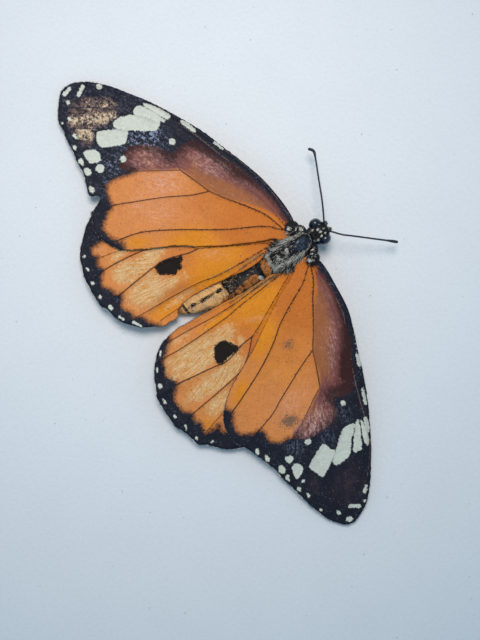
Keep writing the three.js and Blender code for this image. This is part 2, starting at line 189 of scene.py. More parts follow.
RIGHT_FOREWING = {
    "lift": 0.3,
    "outline": [
        [(1.9, 1.2), (3.4, 2.3), (5.2, 2.5), (7.35, 2.35), (11.6, 1.9), (15.1, 0.75), (17.9, -0.4),
         (20.75, -1.45), (24.3, -3), (28.2, -5.1), (31.25, -6.9), (35, -9.55), (37.15, -11.6),
         (38.4, -13.8), (38.7, -14.65), (38.7, -15.45), (38.2, -16.3), (36.4, -17.75), (33.8, -18.65),
         (30, -19.5), (26.8, -20.1), (25.2, -20.3), (23.95, -20.75), (21, -21.75), (19.3, -22.7),
         (17.5, -23), (15.5, -22.6), (14, -21.5)],
        [(13.1, -20.6), (11.5, -18.3), (10.2, -15.6), (8.7, -12.6), (7.3, -10.3), (5.5, -7.2), (4.3, -5),
         (3.1, -2.2), (1.9, -0.6)],
    ],
    "veins": [
        (0.14, 0.1, [(2.4, 1.9), (9.5, 1.75), (15, 0.35), (20.75, -1.8), (28, -5.4), (34.4, -9.7),
                     (37, -12.2)]),
        (0.12, 0.06, [(3, 1.4), (7, 1.5), (10, 1.2), (12, 0.9), (15, -0.6), (17, -1.4), (21, -3.1),
                      (26.4, -4.9)]),
        (0.1, 0.04, [(3, 1.1), (7, 0.7), (11, -0.1), (15, -1.6)]),
        (0.12, 0.1, [(3.2, 0.9), (5.3, 0.05), (7.5, -1.5), (10, -3.1), (12, -4.4), (13.9, -5.75),
                     (16, -6.6), (19, -7.9)]),
        (0.1, 0.07, [(19, -7.9), (20.1, -9.9), (21.6, -12.4), (22.9, -14.9), (23.2, -16), (24.4, -20)]),
        (0.08, 0.08, [(13.9, -5.9), (15, -8.7), (16.1, -11.1), (17.3, -13.7), (18.6, -16.4),
                      (20, -21.6)]),
        (0.1, 0.09, [(3.3, 0.5), (5, -1.7), (6.2, -4.2), (7.9, -7.4), (10, -10.3), (12, -13.9),
                     (14, -18.5), (15.3, -22)]),
        (0.08, 0.06, [(26.4, -4.9), (28, -5.4), (30, -6.3), (33.4, -8.8)]),
        (0.08, 0.07, [(22.8, -4.4), (26.3, -5.7), (28, -6.5), (30, -7.6), (33.6, -10.6), (37, -15)]),
        (0.08, 0.07, [(23.2, -5.2), (26.3, -6.4), (28, -8), (29.7, -9.3), (32.5, -12.4), (35.3, -17.7)]),
        (0.08, 0.07, [(23, -6.2), (26.3, -8.8), (27.9, -10.9), (29.5, -12.9), (31, -15.6),
                      (32.5, -18.7)]),
        (0.07, 0.05, [(22.3, -7.4), (24.6, -9.6), (26.4, -12), (28, -15.9), (29.5, -19.2)]),
        (0.07, 0.05, [(20.8, -7.9), (23, -10.5), (24.9, -14), (26.2, -17.5), (26.8, -19.8)]),
        (0.07, 0.06, [(19, -7.9), (22.3, -7.4), (23, -6.2), (22.8, -4.4)]),
    ],
    "black": [
        [(2.2, 1.8), (7, 1.7), (11, 1), (15, -0.1), (18, -1.5), (20.5, -2.9), (22.2, -4.2), (22, -6),
         (21.6, -7.2), (23.2, -7.6), (24.4, -9), (24.6, -11.4), (24.6, -13.4), (23.6, -15), (22.9, -16),
         (22.8, -17.5), (21.5, -18.7), (19.7, -18.8), (19.4, -20), (18.9, -21), (18, -21.9), (17, -22),
         (16, -21.6), (15.1, -20.9), (14.5, -21.1), (13.9, -22), (17, -24.4), (24, -22.6), (36, -20),
         (41, -15), (37.5, -8.5), (28, -2), (15, 3), (3, 4)],
    ],
    "maroon": [
        [(4.4, 1.2), (6.4, 0), (9, -2.1), (12, -4.3), (14, -5.7), (16, -6.5), (19, -7.9), (21.6, -12.4),
         (22.9, -15.4), (25.5, -14.6), (25.5, -9), (23, -4), (15, 0.8), (5, 2.4)],
    ],
    "white_patches": [
        [(17.9, -0.8), (18.6, -0.55), (19.4, -0.9), (19.8, -1.25), (19.5, -1.5), (18.6, -1.15)],
        [(22.6, -2.7), (24, -3.1), (25, -3.65), (25, -3.9), (23.9, -3.55), (22.7, -3.05)],
        [(26.6, -4.7), (28.2, -5.2), (28.7, -5.6), (28.5, -5.8), (26.5, -5.15)],
        [(26.4, -5.5), (28.9, -5.95), (30.2, -6.8), (29.5, -6.95), (27.5, -6.15)],
        [(26.3, -5.9), (28.7, -7.05), (30.1, -7.9), (30.1, -8.6), (29.8, -9.1), (28.2, -8),
         (26.4, -6.45)],
        [(26.3, -6.8), (26.1, -8.2), (26.4, -9), (27.8, -10.7), (29, -12.2), (29.4, -12.6), (30, -12.4),
         (30.2, -11.7), (30.1, -10.5), (29.8, -9.7), (28, -8.3), (27.1, -7.3)],
        [(26.4, -12.4), (26.8, -11.9), (27.6, -11.7), (28.1, -11.3), (28.5, -11.6), (29.6, -13.3),
         (30.4, -15), (29.8, -15.3), (28.5, -15.8), (27.9, -15.7), (27, -13.9)],
        [(26.5, -17.1), (27, -16.7), (27.5, -16.7), (28.1, -17.1), (28.6, -18.3), (28, -18.4),
         (26.6, -17.9)],
        [(25, -17.3), (25.4, -17), (25.9, -17.4), (26, -17.9), (25.5, -18.2), (24.9, -18)],
        [(27.3, -19.1), (28.3, -19.45), (27.4, -19.75)],
    ],
    "white_spots": [
        (22.9, -6.4, 0.38, 0.36), (24.85, -13.9, 0.42, 0.5), (36.9, -11.8, 0.18, 0.18),
        (38, -15.2, 0.38, 0.5), (36.3, -16, 0.38, 0.26), (34.4, -18, 0.2, 0.16), (31.5, -18.3, 0.33, 0.2),
        (29.3, -17.8, 0.16, 0.25), (30, -18.95, 0.33, 0.26), (26.1, -19.4, 0.6, 0.48),
        (23.5, -20.3, 0.46, 0.3),
    ],
    "white_streaks": [
        ((35.2, -10.4), (35.8, -11.1), 0.42), ((37.1, -12.9), (36.4, -14), 0.55),
        ((21.6, -20.85), (22.1, -21), 0.42),
    ],
    "painted_sheen": [
        (23, -11.4, 1.7, 3, 12, 1.2), (18.6, -12.8, 1.6, 3, 15, 0.5), (14, -12.5, 0.5, 1.8, 20, 0.25),
        (13.8, -2.4, 3, 0.8, -35, 0.6), (17, -4.4, 1.8, 0.6, -40, 0.45), (22, -10.8, 1.4, 2.4, 25, 0.6),
        (23.2, -13.6, 0.9, 1.1, 0, 0.5), (8.6, 0.4, 2, 0.6, -15, 0.3),
    ],
    "slate_and_sheen": [
        (26, -11.2, 1.2, 1, 0, 0.45), (24.4, -7.2, 1.2, 1, 0, 0.4), (24.5, -16, 1.4, 1.2, 0, 0.5),
    ],
    "smudge": [
        (20.7, -14.5, 1, 1.5, -20, 1.2), (11.3, -8.3, 0.9, 1, 0, 0.85), (8.6, -11.6, 0.6, 0.4, 0, 0.35),
        (13.4, -9.4, 0.6, 0.6, 0, 0.35), (10.6, -6.2, 0.5, 0.5, 0, 0.25),
    ],
    "warm": [
        (13, -12, 6, 9, 20, 0.42), (8, -11, 4.5, 2.6, -60, 0.9), (13, -18, 3, 1.2, -60, 0.8),
    ],
    "plum": [
        (33.4, -12.6, 2.6, 1.8, -40, 0.9), (30.5, -16.6, 1.6, 0.8, 0, 0.6),
        (24.4, -9.4, 0.9, 1.6, 0, 0.4),
    ],
    "frost": [
        (17.5, -0.4, 4.4, 0.4, -22, 0.8), (24, -3.2, 3, 0.35, -27, 0.5),
    ],
    "line": [
        ([(7, 1.5), (10, 1.2), (12, 0.9), (15, -0.6), (17, -1.4), (21, -3.1), (26.4, -4.9),
          (30, -6.3)], 0.09, 1),
        ([(30, -6.3), (33.4, -8.8), (35.6, -11.4)], 0.07, 0.7),
    ],
    "dim": [
        (19, -3.6, 3.6, 1.1, -38, 1), (21.4, -6.4, 1.4, 1.2, 0, 0.8),
    ],
    "lit": [
        (23, -11.4, 1.7, 3, 12, 1), (12.5, -1.8, 2.6, 1, -25, 0.5),
    ],
}

LEFT_HINDWING = {
    "lift": -0.3,
    "outline": [
        [(-1.9, -1.2), (-7, -3.2), (-12, -7), (-17, -12), (-20.5, -17), (-21.5, -21.1), (-20.9, -21.9),
         (-20, -23.45), (-18.9, -24.6), (-18, -25.65), (-17, -26.5), (-15.85, -27), (-13.8, -27.8),
         (-12.25, -27.95), (-9.7, -28.15), (-8.65, -27.95), (-8, -27.55), (-6.75, -27.35), (-5, -26.6),
         (-4.05, -25.75), (-3.15, -25), (-2, -23.1), (-1.35, -22), (-1.25, -20.6), (-1.3, -19.6)],
        [(-2.2, -18.9), (-2.55, -17.5), (-2.6, -15.5), (-2.35, -13), (-2, -11), (-1.6, -9), (-1.3, -7),
         (-1.3, -5), (-1.9, -3)],
    ],
    "veins": [
        (0.14, 0.05, [(-2.6, -2), (-5.4, -7), (-7, -9.8), (-8, -11.5)]),
        (0.1, 0.09, [(-8, -11.5), (-8.15, -12.8), (-9.2, -16), (-9.35, -18), (-9.05, -22), (-8.8, -24.7),
                     (-8.7, -27.6)]),
        (0.1, 0.09, [(-8.3, -11.8), (-9.2, -12.4), (-10, -13.7), (-12, -17.4), (-12.9, -21.9),
                     (-13.3, -27.4)]),
        (0.08, 0.04, [(-10, -13.7), (-13.2, -18), (-15.2, -24.6), (-16.2, -26.3)]),
        (0.08, 0.04, [(-11.5, -10.5), (-15.5, -16), (-18, -21), (-19, -24)]),
        (0.1, 0.04, [(-3, -2), (-10, -8), (-15, -12.6), (-18.8, -18), (-20.4, -22.2)]),
        (0.12, 0.05, [(-2.4, -3), (-2.9, -10.5), (-3.7, -14), (-4.2, -18), (-4.35, -20), (-4.6, -24.2),
                      (-4.9, -26.1)]),
        (0.1, 0.04, [(-2, -3.4), (-1.9, -9), (-2.3, -16), (-2.3, -22)]),
    ],
    "black": [
        [(-20.6, -19.4), (-18.6, -21.2), (-17.1, -22.4), (-17, -23), (-17.1, -24.2), (-16.7, -24.8),
         (-15.7, -25), (-15.3, -24.6), (-14.8, -25.1), (-14.2, -25.3), (-13.3, -25), (-12.8, -25.6),
         (-12.1, -26.1), (-11.4, -26.5), (-10.8, -26.2), (-10.2, -25.8), (-9, -25.3), (-8.7, -24.7),
         (-8.3, -24.9), (-7.4, -25.7), (-6.9, -25.9), (-6.3, -25.5), (-5.7, -25.2), (-4.6, -24.9),
         (-4.2, -24.2), (-3, -23.6), (-2.5, -23.3), (-1.7, -22.8), (-0.8, -22.8), (-2, -25.7),
         (-6, -28.6), (-11, -29.6), (-17, -28.2), (-22, -23.8), (-22.8, -20)],
    ],
    "spot": [
        [(-8.3, -14), (-7.5, -14.8), (-7, -14.9), (-6.9, -15.7), (-6.6, -16.3), (-7, -16.8),
         (-7.4, -17.5), (-7.8, -18.1), (-8.5, -18.3), (-9.2, -18.2), (-9.4, -17.4), (-9.3, -16.4),
         (-9, -15.4), (-8.6, -14.7)],
    ],
    "white_spots": [
        (-16.55, -26.05, 0.2, 0.2), (-14.6, -26.65, 0.27, 0.2), (-12.5, -27.25, 0.22, 0.24),
        (-10.2, -27.4, 0.28, 0.2), (-8, -26.95, 0.38, 0.28),
    ],
    "white_streaks": [
        ((-5.5, -26.4), (-6.1, -26.65), 0.32), ((-4.3, -25.4), (-3.2, -24.8), 0.34),
        ((-19.9, -22), (-19.4, -22.2), 0.2), ((-18.2, -22.4), (-17.7, -22.55), 0.18),
    ],
    "painted_sheen": [
        (-6.4, -10, 2.6, 1.2, 60, 0.4), (-15.9, -23.4, 0.9, 0.7, 0, 0.2),
    ],
    "smudge": [
        (-14.6, -23.8, 0.6, 0.4, 0, 0.2),
    ],
    "pale": [
        (-10.8, -18.4, 1.3, 3.8, 12, 1), (-11, -22.2, 1.8, 2.2, 0, 0.95), (-6.9, -21, 2.1, 3.2, 0, 1),
        (-14, -21.2, 0.8, 2, 10, 0.85), (-6, -17.6, 0.8, 2, 0, 0.75), (-7.9, -19.4, 1.5, 0.9, 0, 0.9),
        (-5.7, -15.2, 0.8, 1, 0, 0.45), (-3.4, -18, 0.8, 4, 0, 0.5),
    ],
    "warm": [
        (-5, -10, 3.2, 6, 30, 0.9), (-3.2, -20, 1, 3, 0, 0.8),
    ],
    "frost": [
        (-13, -27, 4, 0.9, 0, 0.4),
    ],
    "fold": [
        ([(-2.1, -3.9), (-2.7, -8), (-3.4, -13)], 0.13, 1),
        ([(-1.9, -4), (-2.05, -8)], 0.28, 0.85),
        ([(-2.9, -14), (-3.1, -18)], 0.14, 0.7),
    ],
}

RIGHT_HINDWING = {
    "lift": -0.3,
    "outline": [
        [(1.9, -1.2), (8, -5), (14, -10.5), (18.5, -16), (20.3, -20), (20, -22.65), (19.3, -24.2),
         (18.5, -25.1), (17.4, -26.1), (16.6, -26.9), (16.05, -27.65), (14.05, -28.1), (12.9, -28.45),
         (12, -28.9), (9.05, -28.95), (7, -28.8), (6, -28.25), (4, -27.3), (3, -26.5), (1.45, -25),
         (0.75, -23.8), (0.35, -22.5), (0.1, -20.5)],
        [(0.2, -19.3), (0.3, -17.5), (0.55, -15), (0.75, -12), (0.95, -8), (1.1, -5), (1.9, -3)],
    ],
    "veins": [
        (0.2, 0.05, [(2.8, -2.6), (4.2, -5.5), (5.4, -8), (6.4, -10), (7.25, -12)]),
        (0.1, 0.09, [(7.25, -12), (7.45, -14.1), (8.1, -16.5), (8.15, -17.8), (7.85, -19), (7.4, -22),
                     (6.95, -25), (6.7, -28.3)]),
        (0.1, 0.08, [(7.4, -12.2), (9, -13.8), (9.8, -14.9), (10.6, -16.4), (11.3, -21), (11.8, -25.6),
                     (12.1, -28.3)]),
        (0.08, 0.04, [(9.8, -14.9), (13.4, -20), (15, -25), (15.6, -27)]),
        (0.08, 0.04, [(10.8, -10.5), (15, -16.5), (17.4, -21), (18, -24.6)]),
        (0.1, 0.04, [(3, -2), (10, -8), (15, -13.6), (18, -18.5), (19.3, -22.6)]),
        (0.14, 0.07, [(2, -3.2), (2.3, -8), (2.5, -11), (2.8, -13.5), (2.9, -18), (2.85, -22),
                      (2.5, -25.4)]),
        (0.16, 0.06, [(1.7, -3.4), (1.65, -7), (1.8, -11), (1.7, -15), (1.3, -19), (1, -23)]),
    ],
    "black": [
        [(0.9, -22.6), (1.3, -23.3), (2, -24), (2.6, -24.7), (2.9, -25.2), (4, -25.5), (4.6, -25.9),
         (5.2, -25.9), (6.4, -25.3), (6.8, -25.2), (7.5, -26.2), (8.6, -27), (9.3, -27.1), (10.2, -27),
         (11, -26.8), (11.7, -26), (12.8, -26.2), (13.4, -26.1), (13.7, -25.7), (14.9, -26),
         (15.4, -26.1), (15.6, -25.3), (15.65, -24.4), (15.5, -23.5), (16.4, -23.9), (17, -23.3),
         (17.4, -23), (18.9, -22.7), (18.9, -21.9), (19.4, -20), (21.5, -20), (21, -24), (17, -28.5),
         (12, -30), (7, -29.8), (3, -28), (-0.2, -24), (0, -22.5)],
    ],
    "spot": [
        [(5.5, -17.6), (5.2, -16.6), (5.5, -15.7), (6.3, -15.3), (7.1, -14.6), (7.5, -14.6), (7.8, -15.6),
         (7.9, -16.7), (8.1, -17.9), (7.5, -18.5), (6.5, -18.3)],
    ],
    "white_spots": [
        (5.7, -27.4, 0.38, 0.3), (8, -28.2, 0.42, 0.2), (10.7, -28.15, 0.28, 0.2),
        (15.15, -27.3, 0.2, 0.2), (16.9, -25.7, 0.12, 0.28), (19.2, -22, 0.15, 0.13),
        (19.3, -22.65, 0.14, 0.14),
    ],
    "white_streaks": [
        ((1.5, -24.5), (2.1, -24.9), 0.2), ((3.2, -26.2), (3.8, -26.6), 0.22),
        ((12.7, -27.6), (13.2, -27.8), 0.24),
    ],
    "painted_sheen": [
        (5.6, -9.8, 0.4, 2.6, -25, 0.5),
    ],
    "smudge": [
        (9.4, -13.2, 0.5, 0.6, 0, 0.3),
    ],
    "pale": [
        (5.2, -20.5, 2.4, 4.8, 0, 1), (4.7, -15.4, 1.3, 2, 0, 0.85), (6.8, -13.7, 0.9, 0.7, 0, 0.7),
        (9.7, -20, 1.4, 5.4, 0, 1), (12.7, -21.2, 1.3, 3.2, 10, 0.85), (9, -15.6, 0.8, 1.2, -30, 0.65),
        (3.6, -24, 0.9, 1.2, 0, 0.6), (1.6, -21, 0.8, 2.8, 0, 0.45), (7.1, -16.4, 1.9, 2, 0, 0.85),
    ],
    "warm": [
        (4.6, -8, 2.6, 5, -25, 1), (2.4, -14, 0.8, 5, 0, 0.6), (14.4, -24.6, 1.6, 1.2, 0, 0.4),
    ],
    "frost": [
        (8, -28, 4.4, 0.8, 0, 0.4),
    ],
    "fold": [
        ([(1.8, -3.4), (1.5, -8)], 0.42, 1),
        ([(1.4, -8), (1.3, -12)], 0.26, 0.9),
        ([(1.7, -6), (2, -12), (2, -17)], 0.12, 0.9),
        ([(2.4, -4.4), (2.8, -9)], 0.11, 0.8),
        ([(1.1, -12), (0.8, -18)], 0.14, 0.8),
    ],
}

WINGS = {
    "left_forewing": LEFT_FOREWING,
    "right_forewing": RIGHT_FOREWING,
    "left_hindwing": LEFT_HINDWING,
    "right_hindwing": RIGHT_HINDWING,
}

# The sheet that the four wings follow
WING_ROOT_X = 2.5
WING_ROOT_HEIGHT = 4.7
WING_DROOP = 3.3
WING_DROOP_REACH = 36
WING_DROOP_POWER = 1.2
WING_REAR_SLOPE = 0.05

# The wings' own relief
VEIN_BASE_REACH = 0.13
VEIN_SAG = 0.09
VEIN_SAG_REACH = 1.1
WAVE_HEIGHT, WAVE_LENGTH = 0.05, 7
RIPPLE_HEIGHT, RIPPLE_LENGTH = 0.012, 1.6
CURL_HEIGHT, CURL_LENGTH, CURL_REACH = 0.12, 4.5, 1.2
RIM_TAPER = 0.3
RIM_THINNEST = 0.25
UNDER_RIDGE = 0.6
RIM_WEAR = ((0.035, 0.9), (0.02, 0.4))
MARGIN_START = 12
MARGIN_REACH = 6

# Distances in wing spacings
ROW_PITCH = 0.866
GRID_SHAKE = 0.18
CLEAR_OF_RIM = 0.6
CLEAR_OF_VEIN = 0.55

# Where the hindwings come down to the abdomen
FLANK_HALF_WIDTH = 1.5
FLANK_RISE = 0.9
FLANK_REACH = 1.7

# A distance beyond every marking, and millimetres across the wing for each radian about its root
FAR = 20.0
ACROSS_SCALE = 18

# How much warmer and paler the wings' parts are
FOREWING_WARMTH = 0.0
HINDWING_WARMTH = 0.22
UNDERSIDE_WARMTH = 0.2
UNDERSIDE_FADE = 0.25


# Curves and distances in the plane of the wings

def smooth(points, step=0.15, closed=False):
    """Points a step apart on the smooth curve through the given ones."""
    route = [np.array(point, float) for point in points]
    count = len(route)
    if closed:
        ends = [route[-1], *route, route[0], route[1]]
    else:
        ends = [2 * route[0] - route[1], *route, 2 * route[-1] - route[-2]]
    spans = count if closed else count - 1
    made = []
    for i in range(spans):
        before, start, end, after = ends[i:i + 4]
        steps = max(1, round(np.linalg.norm(end - start) / step))
        for t in np.arange(steps) / steps:
            made.append(0.5 * (
                2 * start + (end - before) * t + (2 * before - 5 * start + 4 * end - after) * t ** 2
                + (3 * start - before - 3 * end + after) * t ** 3))
    if not closed:
        made.append(route[-1])
    return np.array(made)


def distance_to(points, line, closed=False):
    """The distance of each point to a line through many points."""
    starts = line if closed else line[:-1]
    ends = np.roll(line, -1, axis=0) if closed else line[1:]
    span = ends - starts
    length = np.maximum((span ** 2).sum(1), 1e-12)
    nearest = np.full(len(points), np.inf)
    for chunk in range(0, len(points), 4000):
        away = points[chunk:chunk + 4000, None, :] - starts[None]
        along = np.clip((away * span[None]).sum(2) / length[None], 0, 1)
        gap = away - along[..., None] * span[None]
        nearest[chunk:chunk + 4000] = np.sqrt((gap ** 2).sum(2)).min(1)
    return nearest


def inside(points, outline):
    """Which points are inside a closed outline."""
    found = np.zeros(len(points), bool)
    x, y = points[:, 0], points[:, 1]
    for (x0, y0), (x1, y1) in zip(outline, np.roll(outline, -1, axis=0)):
        if y0 == y1:
            continue
        crosses = (y0 > y) != (y1 > y)
        found ^= crosses & (x < (x1 - x0) * (y - y0) / (y1 - y0) + x0)
    return found


def depth_in(points, outline):
    """How far inside a closed outline each point is. Outside, the value is negative."""
    away = distance_to(points, outline, closed=True)
    return np.where(inside(points, outline), away, -away)


def depth_in_any(points, outlines):
    """The depth in the patch where a point lies deepest."""
    depth = np.full(len(points), -FAR)
    for outline in outlines:
        depth = np.maximum(depth, depth_in(points, smooth(outline, 0.25, closed=True)))
    return depth


def cloud(points, blobs):
    """A soft field, from 0 to 1, of blobs: middle, two radii, turn in degrees and strength."""
    field = np.zeros(len(points))
    for x, y, along, across, turn, strength in blobs:
        angle = math.radians(turn)
        dx = points[:, 0] - x
        dy = points[:, 1] - y
        u = (dx * math.cos(angle) + dy * math.sin(angle)) / along
        v = (dy * math.cos(angle) - dx * math.sin(angle)) / across
        field = np.maximum(field, strength * np.exp(-(u ** 2 + v ** 2)))
    return field


def groove(distance, width):
    """1 in the middle of a line and close to 0 beyond its width."""
    return np.exp(-(distance / width) ** 2)


def unit(vectors):
    """The same directions with a length of 1."""
    return vectors / np.maximum(np.linalg.norm(vectors, axis=1), 1e-9)[:, None]


def outward_of(rim):
    """The direction away from a closed outline at each of its points."""
    ahead = np.roll(rim, -1, axis=0) - np.roll(rim, 1, axis=0)
    return unit(np.stack([ahead[:, 1], -ahead[:, 0]], axis=1))


def ripple(points, wavelength, seed, waves=7):
    """A smooth, irregular field between about -1 and 1."""
    chance = np.random.default_rng(seed)
    field = np.zeros(len(points))
    for _ in range(waves):
        angle = chance.uniform(0, math.tau)
        size = wavelength * chance.uniform(0.7, 1.5)
        phase = chance.uniform(0, math.tau)
        field += np.sin(math.tau * (points @ np.array([math.cos(angle), math.sin(angle)])) / size + phase)
    return field / math.sqrt(waves)


# Materials

class Value:
    """A socket of a material, with the arithmetic that adds Math nodes."""

    def __init__(self, finish, socket):
        self.finish = finish
        self.socket = socket

    def maths(self, operation, *others):
        inputs = dict(enumerate((self, *others)))
        return self.finish.node("ShaderNodeMath", {"operation": operation}, inputs)

    def __add__(self, other):
        return self.maths("ADD", other)

    __radd__ = __add__

    def __mul__(self, other):
        return self.maths("MULTIPLY", other)

    __rmul__ = __mul__

    def __sub__(self, other):
        return self.maths("SUBTRACT", other)

    def __rsub__(self, other):
        return self.finish.node("ShaderNodeMath", {"operation": "SUBTRACT"}, {0: other, 1: self})

    def __truediv__(self, other):
        return self.maths("DIVIDE", other)

    def highest(self, other):
        return self.maths("MAXIMUM", other)


class Finish:
    """One material, made of nodes around its main shader."""

    def __init__(self, name, roughness=0.6, specular=0.5):
        self.material = bpy.data.materials.new(name)
        self.material.use_nodes = True
        self.tree = self.material.node_tree
        self.shader = self.tree.nodes["Principled BSDF"]
        self.shader.inputs["Roughness"].default_value = roughness
        self.shader.inputs["Specular IOR Level"].default_value = specular
        self.place = self.node("ShaderNodeTexCoord", output="Object")

    def node(self, kind, settings=None, inputs=None, output=0):
        made = self.tree.nodes.new(kind)
        for key, value in (settings or {}).items():
            setattr(made, key, value)
        for key, value in (inputs or {}).items():
            self.feed(made.inputs[key], value)
        return Value(self, made.outputs[output])

    def feed(self, socket, value):
        if isinstance(value, Value):
            self.tree.links.new(value.socket, socket)
        elif socket.type == "RGBA":
            socket.default_value = (*value, 1.0)
        else:
            socket.default_value = value

    def attribute(self, name):
        return self.node("ShaderNodeAttribute", {"attribute_name": name}, output="Fac")

    def noise(self, size, detail=2.0, seed=0.0, vector=None):
        """Noise from about -1 to 1, with lumps of about the given size in millimetres."""
        inputs = {"Vector": vector or self.place, "W": seed, "Scale": 1 / (size * MM), "Detail": detail}
        if vector:
            inputs["Scale"] = 1 / size
        return self.node("ShaderNodeTexNoise", {"noise_dimensions": "4D"}, inputs) * 4.0 - 2.0

    def streaks(self, along, across, detail=2.0, seed=0.0):
        """Noise drawn out along the wing, with lumps of the given length and width in millimetres."""
        vector = self.node("ShaderNodeCombineXYZ", inputs={
            "X": self.attribute("reach") / along, "Y": self.attribute("across") / across})
        return self.noise(1.0, detail, seed, vector)

    def step(self, value, low, high):
        """0 below low, 1 above high and a smooth change between."""
        settings = {"interpolation_type": "SMOOTHSTEP"}
        inputs = {"Value": value, "From Min": low, "From Max": high}
        return self.node("ShaderNodeMapRange", settings, inputs)

    def mix(self, first, second, factor):
        settings = {"data_type": "RGBA"}
        inputs = {0: factor, 6: first, 7: second}
        return self.node("ShaderNodeMix", settings, inputs, output=2)

    def scaled(self, colour, tone):
        """A colour made lighter or darker."""
        return self.node("ShaderNodeVectorMath", {"operation": "SCALE"}, {0: colour, "Scale": tone})

    def bump(self, height, distance, strength=1.0):
        inputs = {"Height": height, "Distance": distance * MM, "Strength": strength}
        return self.node("ShaderNodeBump", inputs=inputs)

    def wear(self, colour, roughness=None, normal=None):
        self.feed(self.shader.inputs["Base Color"], colour)
        if roughness is not None:
            self.feed(self.shader.inputs["Roughness"], roughness)
        if normal is not None:
            self.feed(self.shader.inputs["Normal"], normal)
        return self.material


# Settings that a user would change

def colour_property(name, description, screen_colour):
    """A colour that a user can change, given as a screen shows it."""
    return bpy.props.FloatVectorProperty(
        name=name, description=description, default=from_screen(*screen_colour), subtype="COLOR",
        min=0.0, max=1.0)


def length_property(name, description, millimetres):
    """A length that a user can change, given in millimetres."""
    return bpy.props.FloatProperty(
        name=name, description=description, default=millimetres * MM, min=0.0, subtype="DISTANCE",
        unit="LENGTH")


class WingSettings(bpy.types.PropertyGroup):
    """Sizes and colours of the wings."""

    spacing: length_property("Mesh Spacing", "Distance between the points of the wing mesh", 0.17)
    thickness: length_property("Membrane", "Thickness of the wing between its veins", 0.07)
    fringe: length_property("Fringe", "Length of the scales along the outer margin", 0.2)
    orange: colour_property("Orange", "Forewing scales near the root", (205, 118, 46))
    outer_orange: colour_property("Outer Orange", "Forewing scales towards the margin", (218, 140, 80))
    amber: colour_property("Amber", "Yellow-orange of the hindwing and the inner margin", (224, 140, 34))
    maroon: colour_property("Maroon", "Dark scales behind the leading edge", (58, 30, 34))
    rose: colour_property("Rose Brown", "Scales between the maroon and the orange", (122, 72, 70))
    russet: colour_property("Russet", "Brown-orange scales beside the cell", (160, 100, 64))
    # The colour of the painted pinkish sheen on the wings and of the sheen flecks in the maroon
    painted_sheen: colour_property("Blush", "Pinkish gleam of rubbed scales", (229, 189, 187))
    black: colour_property("Black", "Dark scales of the tip and the margins", (26, 30, 44))
    ink: colour_property("Spot", "Brownish black of the hindwing spot", (24, 16, 15))
    slate_and_sheen: colour_property("Slate", "Bluish grey dusting on the black", (136, 148, 180))
    # Bluish grey of the dust on the black, also the colour of a painted bluish sheen over the black
    plum: colour_property("Plum", "Purplish brown in the middle of the tip", (62, 48, 58))
    white: colour_property("White", "Scales of the white marks", (208, 216, 209))
    worn: colour_property("Worn", "Pale membrane where scales are lost", (231, 199, 149))
    straw: colour_property("Straw", "Yellowish brown streaks of worn places", (196, 150, 96))
    cream: colour_property("Cream", "Pale flecks in worn places", (252, 228, 176))
    brown: colour_property("Worn Black", "Faded brown where black scales are lost", (118, 96, 92))
    tan: colour_property("Tan", "Bare membrane in the faded tip", (222, 200, 172))
    soot: colour_property("Soot", "Grey-brown smudges", (92, 86, 80))
    vein: colour_property("Vein", "Dark scales along the veins", (46, 26, 24))


# Meshes

def add_piece(name, points, faces, materials, slot, fields=None, face_materials=None):
    """A mesh object from points in millimetres, with fields as attributes, riding on the body."""
    mesh = bpy.data.meshes.new(name)
    mesh.from_pydata(np.asarray(points) * MM, [], faces)
    for field, values in (fields or {}).items():
        attribute = mesh.attributes.new(field, "FLOAT", "POINT")
        attribute.data.foreach_set("value", np.asarray(values, np.float32))
    for material in materials:
        mesh.materials.append(material)
    if face_materials is not None:
        mesh.polygons.foreach_set("material_index", np.asarray(face_materials, np.int32))
    mesh.polygons.foreach_set("use_smooth", [True] * len(mesh.polygons))
    mesh.update()
    piece = bpy.data.objects.new(name, mesh)
    bpy.context.scene.collection.objects.link(piece)
    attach(piece, "root")
    return piece


def sheet_height(points):
    """Height of the plain sheet that the wings follow."""
    out = np.maximum(np.abs(points[:, 0]) - WING_ROOT_X, 0)
    droop = WING_DROOP * (out / WING_DROOP_REACH) ** WING_DROOP_POWER
    return WING_ROOT_HEIGHT - droop + WING_REAR_SLOPE * (points[:, 1] + 2)


def wing_rim(outline, spacing, seed):
    """The wing's outline, a spacing apart, with the small unevenness of a worn margin."""
    runs = []
    for i, run in enumerate(outline):
        after = outline[(i + 1) % len(outline)][0]
        runs.append(smooth([*run, after], spacing)[:-1])
    rim = np.concatenate(runs)
    uneven = sum(depth * ripple(rim, length, seed + i) for i, (depth, length) in enumerate(RIM_WEAR))
    on_margin = np.clip((np.linalg.norm(rim, axis=1) - MARGIN_START) / MARGIN_REACH, 0, 1)
    return rim + outward_of(rim) * (uneven * on_margin)[:, None]


